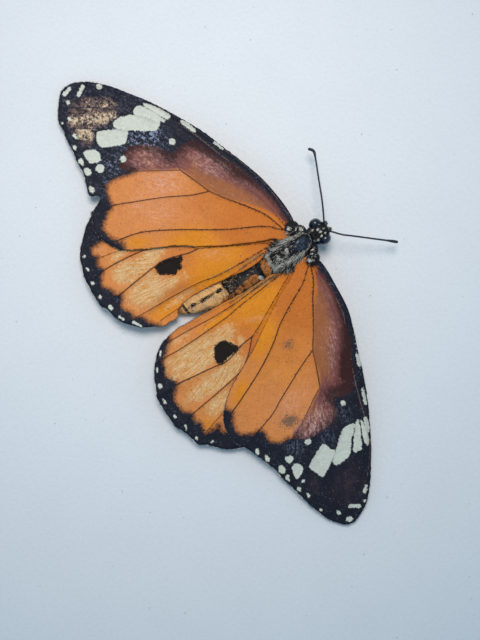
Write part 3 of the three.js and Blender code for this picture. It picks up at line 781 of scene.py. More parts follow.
def wing_grid(rim, veins, spacing, seed):
    """The triangles through the rim, points along the veins and a slightly shaken grid between them."""
    routes = [smooth(route, spacing) for _, _, route in veins]
    lines = np.concatenate(routes)
    lines = lines[inside(lines, rim)]
    lines = lines[distance_to(lines, rim, closed=True) > CLEAR_OF_RIM * spacing]
    low = rim.min(0)
    high = rim.max(0)
    rows = np.arange(low[1], high[1], spacing * ROW_PITCH)
    columns = np.arange(low[0], high[0], spacing)
    x, y = np.meshgrid(columns, rows)
    x = x + (np.arange(len(rows)) % 2)[:, None] * spacing / 2
    inner = np.stack([x.ravel(), y.ravel()], axis=1)
    inner += np.random.default_rng(seed).uniform(-GRID_SHAKE, GRID_SHAKE, inner.shape) * spacing
    inner = inner[inside(inner, rim)]
    inner = inner[distance_to(inner, rim, closed=True) > CLEAR_OF_RIM * spacing]
    for route in routes:
        inner = inner[distance_to(inner, route) > CLEAR_OF_VEIN * spacing]
    points = np.concatenate([rim, lines, inner])
    loop = [(i, (i + 1) % len(rim)) for i in range(len(rim))]
    flat = [Vector(point) for point in points]
    found = geometry.delaunay_2d_cdt(flat, loop, [], 1, 1e-6)
    flat_points = np.array([tuple(point) for point in found[0]])
    faces = [tuple(face) for face in found[2]]
    return flat_points, faces, found[3]


def marks_field(points, marks):
    """A field that is strong along routes. Each mark has its route, its reach and its strength."""
    field = np.zeros(len(points))
    for route, reach, strength in marks:
        away = distance_to(points, np.array(route, float))
        field = np.maximum(field, strength * np.clip(1.6 - away / reach, 0, 1))
    return field


PATCHES = ("black", "spot", "maroon", "brown")
MARKS = ("tan", "fold", "line")
CLOUDS = ("painted_sheen", "slate_and_sheen", "smudge", "pale", "warm", "plum", "frost")


def wing_fields(points, wing, root):
    """The markings, as one field each, and the wing's own directions."""
    white = depth_in_any(points, wing.get("white_patches", ()))
    for x, y, across, along in wing["white_spots"]:
        ratio = np.hypot((points[:, 0] - x) / across, (points[:, 1] - y) / along)
        white = np.maximum(white, (1 - ratio) * min(across, along))
    for start, end, width in wing["white_streaks"]:
        white = np.maximum(white, width / 2 - distance_to(points, np.array([start, end], float)))
    vein = np.full(len(points), -FAR)
    for _, half_width, route in wing["veins"]:
        vein = np.maximum(vein, half_width - distance_to(points, smooth(route, 0.4)))
    away = points - root
    fields = {name: depth_in_any(points, wing.get(name, ())) for name in PATCHES}
    fields |= {name: marks_field(points, wing.get(name, ())) for name in MARKS}
    fields |= {name: cloud(points, wing.get(name, ())) for name in CLOUDS}
    fields["white"] = white
    fields["vein"] = vein
    fields["dim"] = cloud(points, wing.get("dim", ())) - cloud(points, wing.get("lit", ()))
    fields["reach"] = np.linalg.norm(away, axis=1)
    fields["across"] = np.arctan2(away[:, 1], np.abs(away[:, 0])) * ACROSS_SCALE
    return fields


def vein_ridges(points, veins):
    """Height of the veins above the membrane, and how far each point is from the nearest vein."""
    ridge = np.zeros(len(points))
    nearest = np.full(len(points), FAR)
    for height, half_width, route in veins:
        away = distance_to(points, smooth(route, 0.4))
        ridge = np.maximum(ridge, height * groove(away, VEIN_BASE_REACH + half_width * 0.6))
        nearest = np.minimum(nearest, away)
    return ridge, nearest


def lowered_to_abdomen(flat, height):
    """Lets the inner margin of a hindwing come down to the flank of the abdomen."""
    along = np.clip(flat[:, 1], ABDOMEN_END + 1, ABDOMEN_START)
    middle_x, middle_z = abdomen_middle(along)
    beside = np.abs(flat[:, 0] - middle_x) - FLANK_HALF_WIDTH
    flank = middle_z + FLANK_RISE
    near = groove(np.maximum(beside, 0), FLANK_REACH) * np.clip((-2 - flat[:, 1]) / 3, 0, 1)
    near *= np.clip((flat[:, 1] - ABDOMEN_END + 5.5) / 4, 0, 1)
    return height + np.minimum(flank - height, 0) * near


def wing_seed(number):
    """The seed of a wing's uneven rim, which the fringe follows too."""
    return 10 * number + 1


def wing_slot(name):
    """Whether a wing takes the forewing or the hindwing finishes."""
    return "forewing" if "fore" in name else "hindwing"


def build_wing(name, wing, settings, materials, seed):
    """One wing: an upper and an under surface that meet along the rim."""
    spacing = settings.spacing / MM
    thickness = settings.thickness / MM
    rim = wing_rim(wing["outline"], spacing, seed)
    flat, faces, sources = wing_grid(rim, wing["veins"], spacing, seed)
    on_rim = np.array([any(index < len(rim) for index in source) for source in sources])
    root = np.array([math.copysign(2.2, flat[:, 0].mean()), 0.6 if "fore" in name else -1.8])

    ridge, from_vein = vein_ridges(flat, wing["veins"])
    from_rim = distance_to(flat, rim, closed=True)
    sag = -VEIN_SAG * (1 - groove(from_vein, VEIN_SAG_REACH))
    waves = WAVE_HEIGHT * ripple(flat, WAVE_LENGTH, seed + 2)
    waves += RIPPLE_HEIGHT * ripple(flat, RIPPLE_LENGTH, seed + 3)
    outer = np.clip(np.linalg.norm(flat - root, axis=1) / 20, 0, 1)
    curl = CURL_HEIGHT * outer * np.exp(-from_rim / CURL_REACH) * ripple(flat, CURL_LENGTH, seed + 4)
    middle = sheet_height(flat) + wing["lift"] + sag + waves + curl
    if "hind" in name:
        middle = lowered_to_abdomen(flat, middle)
    edge = np.clip(from_rim / RIM_TAPER, RIM_THINNEST, 1)
    upper = middle + (thickness / 2 + ridge) * edge
    lower = middle - (thickness / 2 + UNDER_RIDGE * ridge) * edge

    under_index = np.where(on_rim, np.arange(len(flat)), len(flat) + np.cumsum(~on_rim) - 1)
    points = np.concatenate([
        np.column_stack([flat, np.where(on_rim, middle, upper)]),
        np.column_stack([flat, lower])[~on_rim],
    ])
    top = []
    for a, b, c in faces:
        (x0, y0), (x1, y1), (x2, y2) = flat[a], flat[b], flat[c]
        turns_left = (x1 - x0) * (y2 - y0) > (x2 - x0) * (y1 - y0)
        top.append((a, b, c) if turns_left else (a, c, b))
    under = [(under_index[a], under_index[c], under_index[b]) for a, b, c in top]
    fields = wing_fields(flat, wing, root)
    both = {key: np.concatenate([values, values[~on_rim]]) for key, values in fields.items()}
    sides = [0] * len(top) + [1] * len(under)
    piece = add_piece(f"{name}_scaled", points, top + under, materials, wing_slot(name), both, sides)
    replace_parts(piece, name)


Grains = namedtuple("Grains", "lumps grain dust broad strands rows fine")


def wing_grains(finish):
    """The unevenness of scales, from broad patches to single ones, and streaks along and across."""
    return Grains(
        lumps=finish.noise(1.1, 2.0, 1.0),
        grain=finish.noise(0.42, 2.0, 2.0),
        dust=finish.noise(0.2, 1.0, 3.0),
        broad=finish.noise(4.0, 2.0, 4.0),
        strands=finish.streaks(1.6, 0.22, 2.0, 5.0),
        rows=finish.streaks(0.25, 1.6, 1.0, 6.0),
        fine=finish.noise(0.15, 0.0, 7.0),
    )


def orange_scales(finish, settings, grains, warmth):
    """The orange of a wing, from its root to its margin, warmer where the wing has it."""
    step, mix = finish.step, finish.mix
    outward = step(finish.attribute("reach") + grains.broad * 2.0, 6.0, 21.0)
    ground = mix(settings.orange[:], settings.outer_orange[:], outward)
    warm = step(finish.attribute("warm") + grains.broad * 0.12 + warmth, 0.15, 0.85)
    ground = mix(ground, settings.amber[:], warm)
    return mix(ground, settings.russet[:], step(grains.grain * 0.5 + grains.lumps * 0.5, 0.1, 1.1) * 0.28)


def maroon_scales(finish, settings, grains, depth, near_root):
    """The dark red behind the leading edge, which turns brown away from the black."""
    step, mix = finish.step, finish.mix
    lumps, grain, strands, fine = grains.lumps, grains.grain, grains.strands, grains.fine
    inward = strands * 0.35 + lumps * 0.35 - depth - finish.attribute("dim") * 1.3 + near_root * 2.0
    rose = mix(settings.maroon[:], settings.rose[:], step(inward, 0.4, 2.4))
    rose = mix(rose, settings.russet[:], step(inward, 2.2, 4.6))
    # Painted pinkish sheen flecks in the maroon
    flecks = step(strands * 0.4 + grain * 0.4 + fine * 0.4, 0.25, 0.8)
    return mix(rose, settings.painted_sheen[:], flecks * step(inward, 0.4, 1.6) * 0.3)


def sheen_wear_and_shaded_folds(finish, settings, grains, ground):
    """A painted pinkish sheen, pale worn places with streaks of bare membrane, and folds beside the abdomen
    with painted shade along them.
    """
    step, mix, field = finish.step, finish.mix, finish.attribute
    lumps, grain, dust, _, strands, _, fine = grains
    # A painted pinkish sheen where the clouds ask for it
    gleam = field("painted_sheen") * step(strands * 0.5 + grain * 0.5 + fine * 0.3, -0.5, 0.8)
    ground = mix(ground, settings.painted_sheen[:], gleam * 0.7)

    worn = step(field("pale") + grain * 0.24 + strands * 0.16 + lumps * 0.12, 0.15, 0.62)
    streaks = step(grain * 0.3 + strands * 0.7 + fine * 0.2, -0.4, 0.6)
    bare = mix(settings.worn[:], settings.straw[:], streaks)
    bare = mix(bare, settings.amber[:], step(lumps * 0.5 + strands * 0.6 + dust * 0.2, -0.2, 0.8) * 0.6)
    bare = mix(bare, settings.cream[:], step(dust * 0.4 + grain * 0.3 - strands * 0.5, 0.15, 0.7) * 0.65)
    bare = mix(bare, settings.soot[:], step(fine * 0.5 + dust * 0.3 + lumps * 0.4, 0.5, 0.9) * 0.5)
    ground = mix(ground, bare, worn * 0.82)

    # The fold beside the abdomen: its streaky colour with painted shade of the trough along it
    folds_and_shade = step(field("fold") + strands * 0.15 + grain * 0.1, 0.5, 1.0)
    lines = step(strands * 0.7 + grain * 0.4, -0.5, 0.6)
    return mix(ground, mix(settings.vein[:], settings.straw[:], lines), folds_and_shade * 0.9)


def black_scales(finish, settings, grains, vein):
    """The black of tips and margins, with bluish dust and a painted bluish sheen, faded brown places and
    frost.
    """
    step, mix, field = finish.step, finish.mix, finish.attribute
    lumps, grain, dust, _, strands, _, fine = grains
    dusting = step(dust * 0.4 + lumps * 0.3 + fine * 0.6, 0.35, 1.1) * 0.4
    # A painted bluish sheen over the black where the clouds ask for it
    bluish = field("slate_and_sheen") * 1.3 * step(strands * 0.5 + dust * 0.4 + grain * 0.3, -0.1, 0.6)
    night = mix(settings.black[:], settings.slate_and_sheen[:], dusting.highest(bluish))
    plum = field("plum") * step(lumps * 0.5 + strands * 0.5, -0.8, 0.6)
    night = mix(night, settings.plum[:], plum)
    night = mix(night, settings.brown[:], step(field("line") + dust * 0.3, 0.3, 1.0) * 0.8)
    faded = step(field("brown") + lumps * 0.5 + grain * 0.3, -0.5, 0.9)
    tan = step(field("tan") + fine * 0.35 + grain * 0.35 + lumps * 0.3, 0.25, 1.15)
    patch = mix(settings.brown[:], settings.tan[:], tan)
    holes = step(fine * 0.4 + grain * 0.4 + strands * 0.5, -0.6, 0.4)
    night = mix(night, patch, faded * holes * (1 - vein * 0.85))
    frost = step(field("frost") + dust * 0.5 + grain * 0.3, 0.9, 1.1)
    return mix(night, settings.white[:], frost * 0.7)


def wing_finish(name, settings, warmth, underside=False):
    """Overlapping scales in the wing's colours, with broken edges between the markings."""
    finish = Finish(name, roughness=0.65, specular=0.16)
    step, mix, field = finish.step, finish.mix, finish.attribute
    grains = wing_grains(finish)
    lumps, grain, dust, broad, strands, rows, fine = grains

    depth = field("black")
    ragged = depth + lumps * 0.1 + grain * 0.22 + dust * 0.16 + fine * 0.16
    black = step(ragged, -0.14, 0.1)
    white = step(field("white") + grain * 0.09 + dust * 0.07 + fine * 0.05, -0.09, 0.05)
    from_vein = field("vein")
    near_root = 1 - step(field("reach"), 4.0, 15.0)
    roughened = (dust * 0.6 + grain * 0.4) * (near_root * 0.12 + 0.05)
    vein = step(from_vein + roughened, -0.06, 0.04)
    beside = step(from_vein, -0.5, 0.0) * step(dust * 0.6 + grain * 0.5, 0.3, 0.55)

    ground = orange_scales(finish, settings, grains, warmth)
    maroon = step(field("maroon") + lumps * 0.12 + grain * 0.1, -0.35, 0.3)
    ground = mix(ground, maroon_scales(finish, settings, grains, depth, near_root), maroon)
    ground = mix(ground, settings.maroon[:], step(ragged, -0.9, 0.0) * 0.8)
    ground = sheen_wear_and_shaded_folds(finish, settings, grains, ground)
    smudge = step(field("smudge") + grain * 0.25 + fine * 0.45, 0.25, 1.0)
    ground = mix(ground, settings.soot[:], smudge * 0.8)
    specks = step(fine * 0.7 + lumps * 0.25 + grain * 0.2, 0.72, 0.95)
    dark = (specks * 0.6).highest(beside * 0.7).highest(vein * (0.9 - maroon * 0.5))
    ground = mix(ground, settings.vein[:], dark)

    colour = mix(ground, black_scales(finish, settings, grains, vein), black)
    spot = step(field("spot") + lumps * 0.14 + grain * 0.14 + fine * 0.14, -0.2, 0.1)
    colour = mix(colour, settings.ink[:], spot)
    pearl = mix(settings.white[:], settings.slate_and_sheen[:], step(dust * 0.6 + grain * 0.4, 0.5, 0.9) * 0.45)
    pearl = mix(pearl, settings.brown[:], vein * 0.25)
    colour = mix(colour, pearl, white)
    if underside:
        colour = mix(colour, settings.worn[:], UNDERSIDE_FADE)

    tone = 1.0 + grain * 0.09 + dust * 0.08 + rows * 0.05 + broad * 0.04 + strands * 0.05
    relief = grain * 0.5 + rows * 0.4 + dust * 0.3
    return finish.wear(finish.scaled(colour, tone), 0.62 + grain * 0.06, finish.bump(relief, 0.03, 0.7))


class BUTTERFLY_OT_wings(bpy.types.Operator):
    """Builds the four wings with their veins, markings and worn places"""

    bl_idname = "butterfly.wings"
    bl_label = "Wings"

    def execute(self, context):
        settings = context.scene.butterfly_wings
        finishes = {}
        for slot, warmth in (("forewing", FOREWING_WARMTH), ("hindwing", HINDWING_WARMTH)):
            finishes[slot] = [
                wing_finish(f"{slot}_upper", settings, warmth),
                wing_finish(f"{slot}_under", settings, warmth + UNDERSIDE_WARMTH, underside=True),
            ]
        for seed, (name, wing) in enumerate(WINGS.items()):
            build_wing(name, wing, settings, finishes[wing_slot(name)], wing_seed(seed))
        return {"FINISHED"}


# Round forms of the body, in millimetres

def outward(points, faces):
    """The same form with its faces turned outward."""
    volume = 0.0
    for face in faces:
        a = points[face[0]]
        for i in range(1, len(face) - 1):
            volume += np.dot(a, np.cross(points[face[i]], points[face[i + 1]]))
    if volume < 0:
        faces = [face[::-1] for face in faces]
    return points, faces


def shell(rings):
    """A closed form through rings of points, with both ends shut."""
    count, around = rings.shape[:2]
    ends = [rings[0].mean(0), rings[-1].mean(0)]
    points = np.concatenate([rings.reshape(-1, 3), ends])
    faces = []
    for i in range(count - 1):
        for j in range(around):
            k = (j + 1) % around
            faces.append((i * around + j, i * around + k, (i + 1) * around + k, (i + 1) * around + j))
    last = (count - 1) * around
    for j in range(around):
        k = (j + 1) % around
        faces.append((len(points) - 2, k, j))
        faces.append((len(points) - 1, last + j, last + k))
    return outward(points, faces)


def ellipsoid(centre, radii, turn=0.0, axis="Y", around=36):
    """An ellipsoid turned about one axis through its middle."""
    polar = np.linspace(0.06, math.pi - 0.06, around * 2 // 3)[:, None]
    angle = np.arange(around)[None] / around * math.tau
    ball = np.stack([np.sin(polar) * np.cos(angle), np.sin(polar) * np.sin(angle),
                     np.cos(polar) + 0 * angle], axis=2)
    turned = np.array(Matrix.Rotation(turn, 3, axis))
    return shell(ball * radii @ turned.T + centre)


def rod(route, radius, step=0.08, around=10, across=(0, 0, 1)):
    """A rod with rounded ends along a smooth route. Its radius may change with the way along it, 0 to 1."""
    line = smooth(route, step)
    ahead = unit(np.gradient(line, axis=0))
    side = unit(np.cross(ahead, across))
    up = np.cross(side, ahead)
    run = np.concatenate([[0], np.cumsum(np.linalg.norm(np.diff(line, axis=0), axis=1))])
    thick = np.array([radius(s / run[-1]) for s in run]) if callable(radius) else np.full(len(run), radius)
    near_end = np.minimum(run, run[-1] - run)
    thick = thick * np.sqrt(np.clip(1 - (1 - np.clip(near_end / thick, 0, 1)) ** 2, 0.03, 1))
    angle = np.arange(around) / around * math.tau
    rings = line[:, None] + thick[:, None, None] * (
        np.cos(angle)[None, :, None] * side[:, None] + np.sin(angle)[None, :, None] * up[:, None])
    return shell(rings)


def joined(forms):
    """Several forms as one."""
    points = []
    faces = []
    for form_points, form_faces in forms:
        start = sum(len(part) for part in points)
        points.append(form_points)
        faces += [tuple(index + start for index in face) for face in form_faces]
    return np.concatenate(points), faces


def bulge(x, y, middle, radii):
    """A smooth mound, 1 in its middle and 0 outside its oval."""
    distance = ((x - middle[0]) / radii[0]) ** 2 + ((y - middle[1]) / radii[1]) ** 2
    return np.clip(1 - distance, 0, 1) ** 0.6


# The thorax: how full it is from back to front, and its raised plates with their middles and radii
THORAX_PROFILE = [
    (-3.9, 0.05), (-3.75, 0.42), (-3.4, 0.64), (-2.6, 0.84), (-1.2, 0.98), (0.1, 1), (1.4, 0.93),
    (2.5, 0.74), (3.2, 0.45), (3.5, 0.12),
]
THORAX_MIDDLE = 3.0
THORAX_HALF = (2.4, 3.62)
SCUTUM = ((-0.05, 1.55), (1.3, 1.75))
# Middle and radii of the painted bluish reflection on the scutum
SCUTUM_REFLECTION = ((0.1, 1.5), (0.95, 1.6))
SCUTELLUM = ((0, -2.45), (1, 0.75))
ABDOMEN_START = -4.0
ABDOMEN_END = -19.25
ABDOMEN_RINGS = 8
ABDOMEN_RADIUS = 1.68
ABDOMEN_LOWEST = 0.05


def thorax_form():
    """The thorax with its raised plates, the seams between them and slight dents."""
    profile = smooth(THORAX_PROFILE, 0.05)
    angle = np.arange(128) / 128 * math.tau
    y = profile[:, 0][:, None] + 0 * angle[None]
    x = THORAX_HALF[0] * profile[:, 1][:, None] * np.cos(angle)
    z = THORAX_HALF[1] * profile[:, 1][:, None] * np.sin(angle)
    top = np.clip(np.sin(angle)[None] * 2 - 0.6, 0, 1)
    side = np.clip(1 - np.abs(np.sin(angle)[None]) * 1.3, 0, 1)
    raised = 0.13 * bulge(x, y, *SCUTUM) + 0.16 * bulge(x, y, *SCUTELLUM)
    raised -= 0.12 * groove(y + 0.75, 0.22) + 0.08 * groove(y + 3.2, 0.14)
    raised -= 0.05 * groove(np.abs(x) - 1.35, 0.12) * (y > -0.6)
    plates = -0.14 * groove(y - 1.15 - 0.2 * z, 0.12) - 0.14 * groove(y + 1.25 - 0.15 * z, 0.12)
    unrolled = np.stack([np.arctan2(z, x) * THORAX_HALF[0], y], axis=2)
    uneven = 0.03 * ripple(unrolled.reshape(-1, 2), 1.1, 3).reshape(x.shape)
    grown = 1 + (raised * top + plates * side + uneven) / 3
    rings = np.stack([x * grown, y, np.maximum(THORAX_MIDDLE + z * grown, 0)], axis=2)
    return shell(rings)


def abdomen_middle(y):
    """How far the abdomen's middle lies to the side, and how high, at a place along it."""
    back = ABDOMEN_START - 0.15 - y
    return -0.0096 * back ** 2, 3.65 - 0.175 * back


def abdomen_form():
    """The abdomen, whose rings overlap to the rear, shrunk along its sides, with its end lobes."""
    forward = np.linspace(ABDOMEN_START, ABDOMEN_END, 190)[:, None]
    way = (forward - ABDOMEN_START) / (ABDOMEN_END - ABDOMEN_START)
    angle = np.arange(72)[None] / 72 * math.tau
    fullness = np.sin(math.pi * (0.2 + 0.62 * way + 0.178 * way ** 8)) ** 0.55
    band = (way * ABDOMEN_RINGS + 0.03 * np.sin(3 * angle)) % 1
    overlap = 0.05 * band ** 1.5 - 0.06 * groove(np.minimum(band, 1 - band), 0.06)
    shrunk = 0.06 * groove(np.abs(np.sin(angle)) - 0.25, 0.2)
    flat = np.stack([angle * 1.6 + 0 * way, forward + 0 * angle], axis=2)
    uneven = 0.03 * ripple(flat.reshape(-1, 2), 1.2, 8).reshape(flat.shape[:2])
    radius = ABDOMEN_RADIUS * fullness * (1 + overlap - shrunk + uneven)
    middle_x, middle_z = abdomen_middle(forward)
    rings = np.stack([middle_x + radius * np.cos(angle), forward + 0 * angle,
                      np.maximum(middle_z + radius * np.sin(angle), ABDOMEN_LOWEST)], axis=2)
    tip = [ellipsoid((x, -18.9, 1.05), (0.34, 0.4, 0.42), around=24) for x in (-2.35, -1.95)]
    return joined([shell(rings), *tip])


# Each pair of legs: its thickness, and the places of hip, knee, ankle and foot tip on the right side
LEG_RADII = (0.34, 0.24, 0.15)
LEGS = {
    "foreleg": (0.7, [(0.9, 3.1, 1.3), (1.5, 4.7, 1.7), (1.1, 4, 0.75), (0.9, 5.1, 0.5)]),
    "midleg": (1.0, [(1.4, -0.2, 0.9), (4.5, 0.9, 2.4), (5.7, -3, 0.55), (5.9, -5.8, 0.2)]),
    "hindleg": (1.0, [(1.2, -2.5, 0.9), (3.7, -4.9, 2.2), (4.1, -9.6, 0.55), (4.9, -12.8, 0.2)]),
}
TARSUS_JOINTS = 5
CLAW_SPREAD = 0.14
CLAW_LENGTH = 0.16


def leg_form(side, size, joints):
    """A leg of thigh, shin and a foot of five joints with two claws."""
    places = [np.array((side * x, y, z)) for x, y, z in joints]
    thigh, shin, foot = (radius * size for radius in LEG_RADII)
    forms = [
        rod(places[0:2], lambda t: thigh * (1.05 - 0.35 * t), 0.12),
        rod(places[1:3], lambda t: shin * (1 - 0.25 * t), 0.12),
        ellipsoid(places[1], (shin, shin, shin), around=16),
    ]
    for i in range(TARSUS_JOINTS):
        start = places[2] + (places[3] - places[2]) * i / TARSUS_JOINTS
        end = places[2] + (places[3] - places[2]) * (i + 0.96) / TARSUS_JOINTS
        forms.append(rod([start, end], lambda t: foot * (0.72 + 0.28 * t), 0.1, 8))
    toward = (places[3] - places[2]) / np.linalg.norm(places[3] - places[2])
    for spread in (-CLAW_SPREAD, CLAW_SPREAD):
        tip = places[3] + toward * CLAW_LENGTH * size + np.array((spread, 0, -0.05)) * size
        forms.append(rod([places[3] - toward * 0.1, tip], lambda t: 0.05 * (1.1 - t), 0.04, 6))
    return joined(forms)


# Antennae, from socket to tip, and the tongue's coil
ANTENNAE = {
    "left_antenna": [
        (-0.75, 6.05, 4.75), (-3.4, 7.5, 4.9), (-6.9, 9.2, 4.2), (-9.3, 10.4, 3.4), (-10.4, 10.8, 3),
        (-11.15, 10.35, 2.7),
    ],
    "right_antenna": [
        (0.8, 6.05, 4.75), (2.2, 7.2, 4.9), (3.2, 8.35, 4.8), (5.3, 10.8, 4), (6.9, 12.7, 3.2),
        (7.75, 13.65, 2.8),
    ],
}
ANTENNA_JOINTS = 38
ANTENNA_RADIUS = 0.135
CLUB_SWELLING = 0.095
CLUB_START = 0.8
CLUB_RISE = 0.13
COIL_MIDDLE = (4.85, 1.55)
COIL_TURNS = 1.6
COIL_RIBS = 700


def antenna_radius(way):
    """The radius of an antenna: many joints, and a club near the tip."""
    joint = way * ANTENNA_JOINTS % 1
    club = np.clip((way - CLUB_START) / CLUB_RISE, 0, 1)
    club = club * club * (3 - 2 * club)
    return (ANTENNA_RADIUS + CLUB_SWELLING * club) * (0.93 + 0.1 * joint)


def proboscis_radius(way):
    """The radius of the tongue, which tapers and is finely ribbed."""
    return 0.1 * (1.05 - 0.3 * way) * (1 + 0.08 * math.sin(way * COIL_RIBS))


def proboscis_form():
    """The tongue, which comes down from the face and coils up under it."""
    coil = [(0, 5.7, 2.65), (0, 5.78, 2.2)]
    for t in np.linspace(0, 1, 40):
        angle = 0.25 - t * COIL_TURNS * math.tau
        reach = 0.95 - 0.62 * t
        coil.append((0, COIL_MIDDLE[0] + reach * math.cos(angle), COIL_MIDDLE[1] + reach * math.sin(angle)))
    return rod(coil, proboscis_radius, 0.03, 10, (1, 0, 0))


# Places on the body with their own colour: route, reach and strength for each mark

BODY_MARKS = {
    "rust": [
        ([(-0.8, -4.75), (0.6, -4.95)], 0.62, 1), ([(0.35, -7), (0.5, -8.4)], 0.62, 0.9),
        ([(0.4, -9.3), (0.6, -9.9)], 0.45, 0.8), ([(-2.4, -18.7), (-1.9, -19)], 0.55, 0.7),
        ([(0.5, -10.9), (0.6, -12.4)], 0.5, 0.6),
    ],
    "tan": [
        ([(-0.8, -12.6), (-0.9, -13)], 1.4, 0.9), ([(-2, -11.9), (-2.4, -14.4)], 0.7, 1),
        ([(-0.3, -11.8), (0, -14)], 0.7, 0.95), ([(-1.6, -14.8), (-1.9, -17)], 1.6, 1),
        ([(-2.3, -15), (-2.4, -17.2)], 0.5, 1),
    ],
    "ash": [
        ([(-1.5, 1.6), (-1.7, 0), (-1.85, -3.6)], 0.3, 0.8),
        ([(1.2, 1), (1.1, -1.4), (0.9, -3.6)], 0.26, 0.8),
        ([(-1.7, -3.7), (0, -3.8), (1.1, -3.7)], 0.3, 0.9), ([(-0.5, -0.9), (0, -1)], 0.25, 0.5),
        ([(-0.4, -2.5), (0, -2.8), (0.3, -2.3)], 0.2, 0.7), ([(0.7, -6.1), (1, -5.9)], 0.3, 0.9),
        ([(-0.9, -14.4), (-0.4, -16.8)], 0.35, 0.5), ([(-2, -12.4), (-2.2, -13.8)], 0.25, 0.4),
    ],
    "night": [
        ([(-1.05, -5.8), (-1, -8), (-1.1, -10.6)], 0.85, 1), ([(-1.9, -11.1), (0.2, -11.1)], 0.28, 1),
        ([(-1.3, -5.55), (0.9, -5.6)], 0.18, 1), ([(-1.05, -12.2), (-1.05, -12.5)], 0.34, 0.9),
        ([(-1.2, -14.1), (-1.15, -15.2)], 0.26, 0.9), ([(-1.5, -16.5), (-1.5, -16.9)], 0.28, 0.8),
        ([(-2.5, -18), (-0.6, -17.9)], 0.22, 1), ([(-0.2, -8.9), (0.4, -9)], 0.25, 0.8),
    ],
}


def body_fields(points, gloss=0.0):
    """Colour fields of a body form from its marks, which lie on the upper side."""
    x, y, z = points.T
    middle_z = abdomen_middle(y)[1]
    upper = np.clip((z - 2.2) / 1.2, 0, 1)
    behind = np.clip((ABDOMEN_START - y) / 3, 0, 1)
    marked = np.maximum(upper, behind * (z > middle_z))
    fields = {name: marks_field(points[:, :2], marks) * marked for name, marks in BODY_MARKS.items()}
    below = np.clip((middle_z - z) / 0.6, 0, 1) * (y < ABDOMEN_START)
    fields["tan"] = np.maximum(fields["tan"], 0.8 * below)
    shine = np.maximum(float(gloss), bulge(x, y, *SCUTUM) * upper)
    fields["gloss"] = np.clip(shine * 2, 0, 1)
    # A painted bluish reflection in the middle of the scutum
    fields["glow"] = bulge(x, y, *SCUTUM_REFLECTION) ** 1.5 * upper
    return fields


def body_finish(settings):
    """Dark, scale-dusted skin with rust, tan and ash-grey places, and a painted bluish reflection on the
    scutum.
    """
    finish = Finish("body_coat", roughness=0.55, specular=0.4)
    grain = finish.noise(0.16, 2.0, 1.0)
    lumps = finish.noise(0.5, 2.0, 2.0)
    step, mix, field = finish.step, finish.mix, finish.attribute
    gloss = field("gloss")
    bluish = step(lumps * 0.6 + grain * 0.4, 0.1, 0.9) * 0.3
    # A painted bluish reflection on the scutum, over random bluish patches of the skin
    glow = field("glow") * (0.5 + lumps * 0.9 + grain * 0.8)
    colour = mix(settings.skin[:], settings.sheen[:], bluish.highest(glow))
    tan = step(field("tan") + grain * 0.25 + lumps * 0.2, 0.35, 0.75)
    straw = mix(settings.tan[:], settings.umber[:], step(lumps * 0.6 + grain * 0.6, 0.1, 0.7))
    colour = mix(colour, straw, tan)
    rust = step(field("rust") + grain * 0.2 + lumps * 0.2, 0.4, 0.65)
    colour = mix(colour, settings.rust[:], rust)
    night = step(field("night") + grain * 0.25 + lumps * 0.25, 0.4, 0.7)
    colour = mix(colour, settings.skin[:], night)
    ash = step(field("ash") + grain * 0.5 + lumps * 0.4, 0.6, 1.1)
    colour = mix(colour, settings.ash[:], ash * (1 - gloss) * 0.8)
    colour = finish.scaled(colour, 1.0 + grain * 0.15 * (1 - gloss))
    roughness = 0.62 - gloss * 0.36 + grain * 0.05
    height = (grain * 0.3 + lumps * 0.15) * (1.1 - gloss)
    return finish.wear(colour, roughness, finish.bump(height, 0.04, 0.7))


# Hair

# A tuft: the route that it grows along and its reach, the number, length and width of its hairs, how much
# they stand up and where they lean, how light and how rusty they are, and the side of the body
Tuft = namedtuple("Tuft", "route reach count length width rise lean light warm side")
WHITE = 1.0
BACK = (0, -1, 0)
PALP_LEAN = (0, 0.2, 0.6)
UP, ROUND, DOWN = 1, 0, -1


def dot(x, y, reach=0.22, count=26, light=WHITE, side=UP):
    """A small white spot of short, broad scales."""
    return Tuft([(x, y), (x, y - 0.01)], reach, count, 0.24, 0.045, 0.6, BACK, light, 0, side)


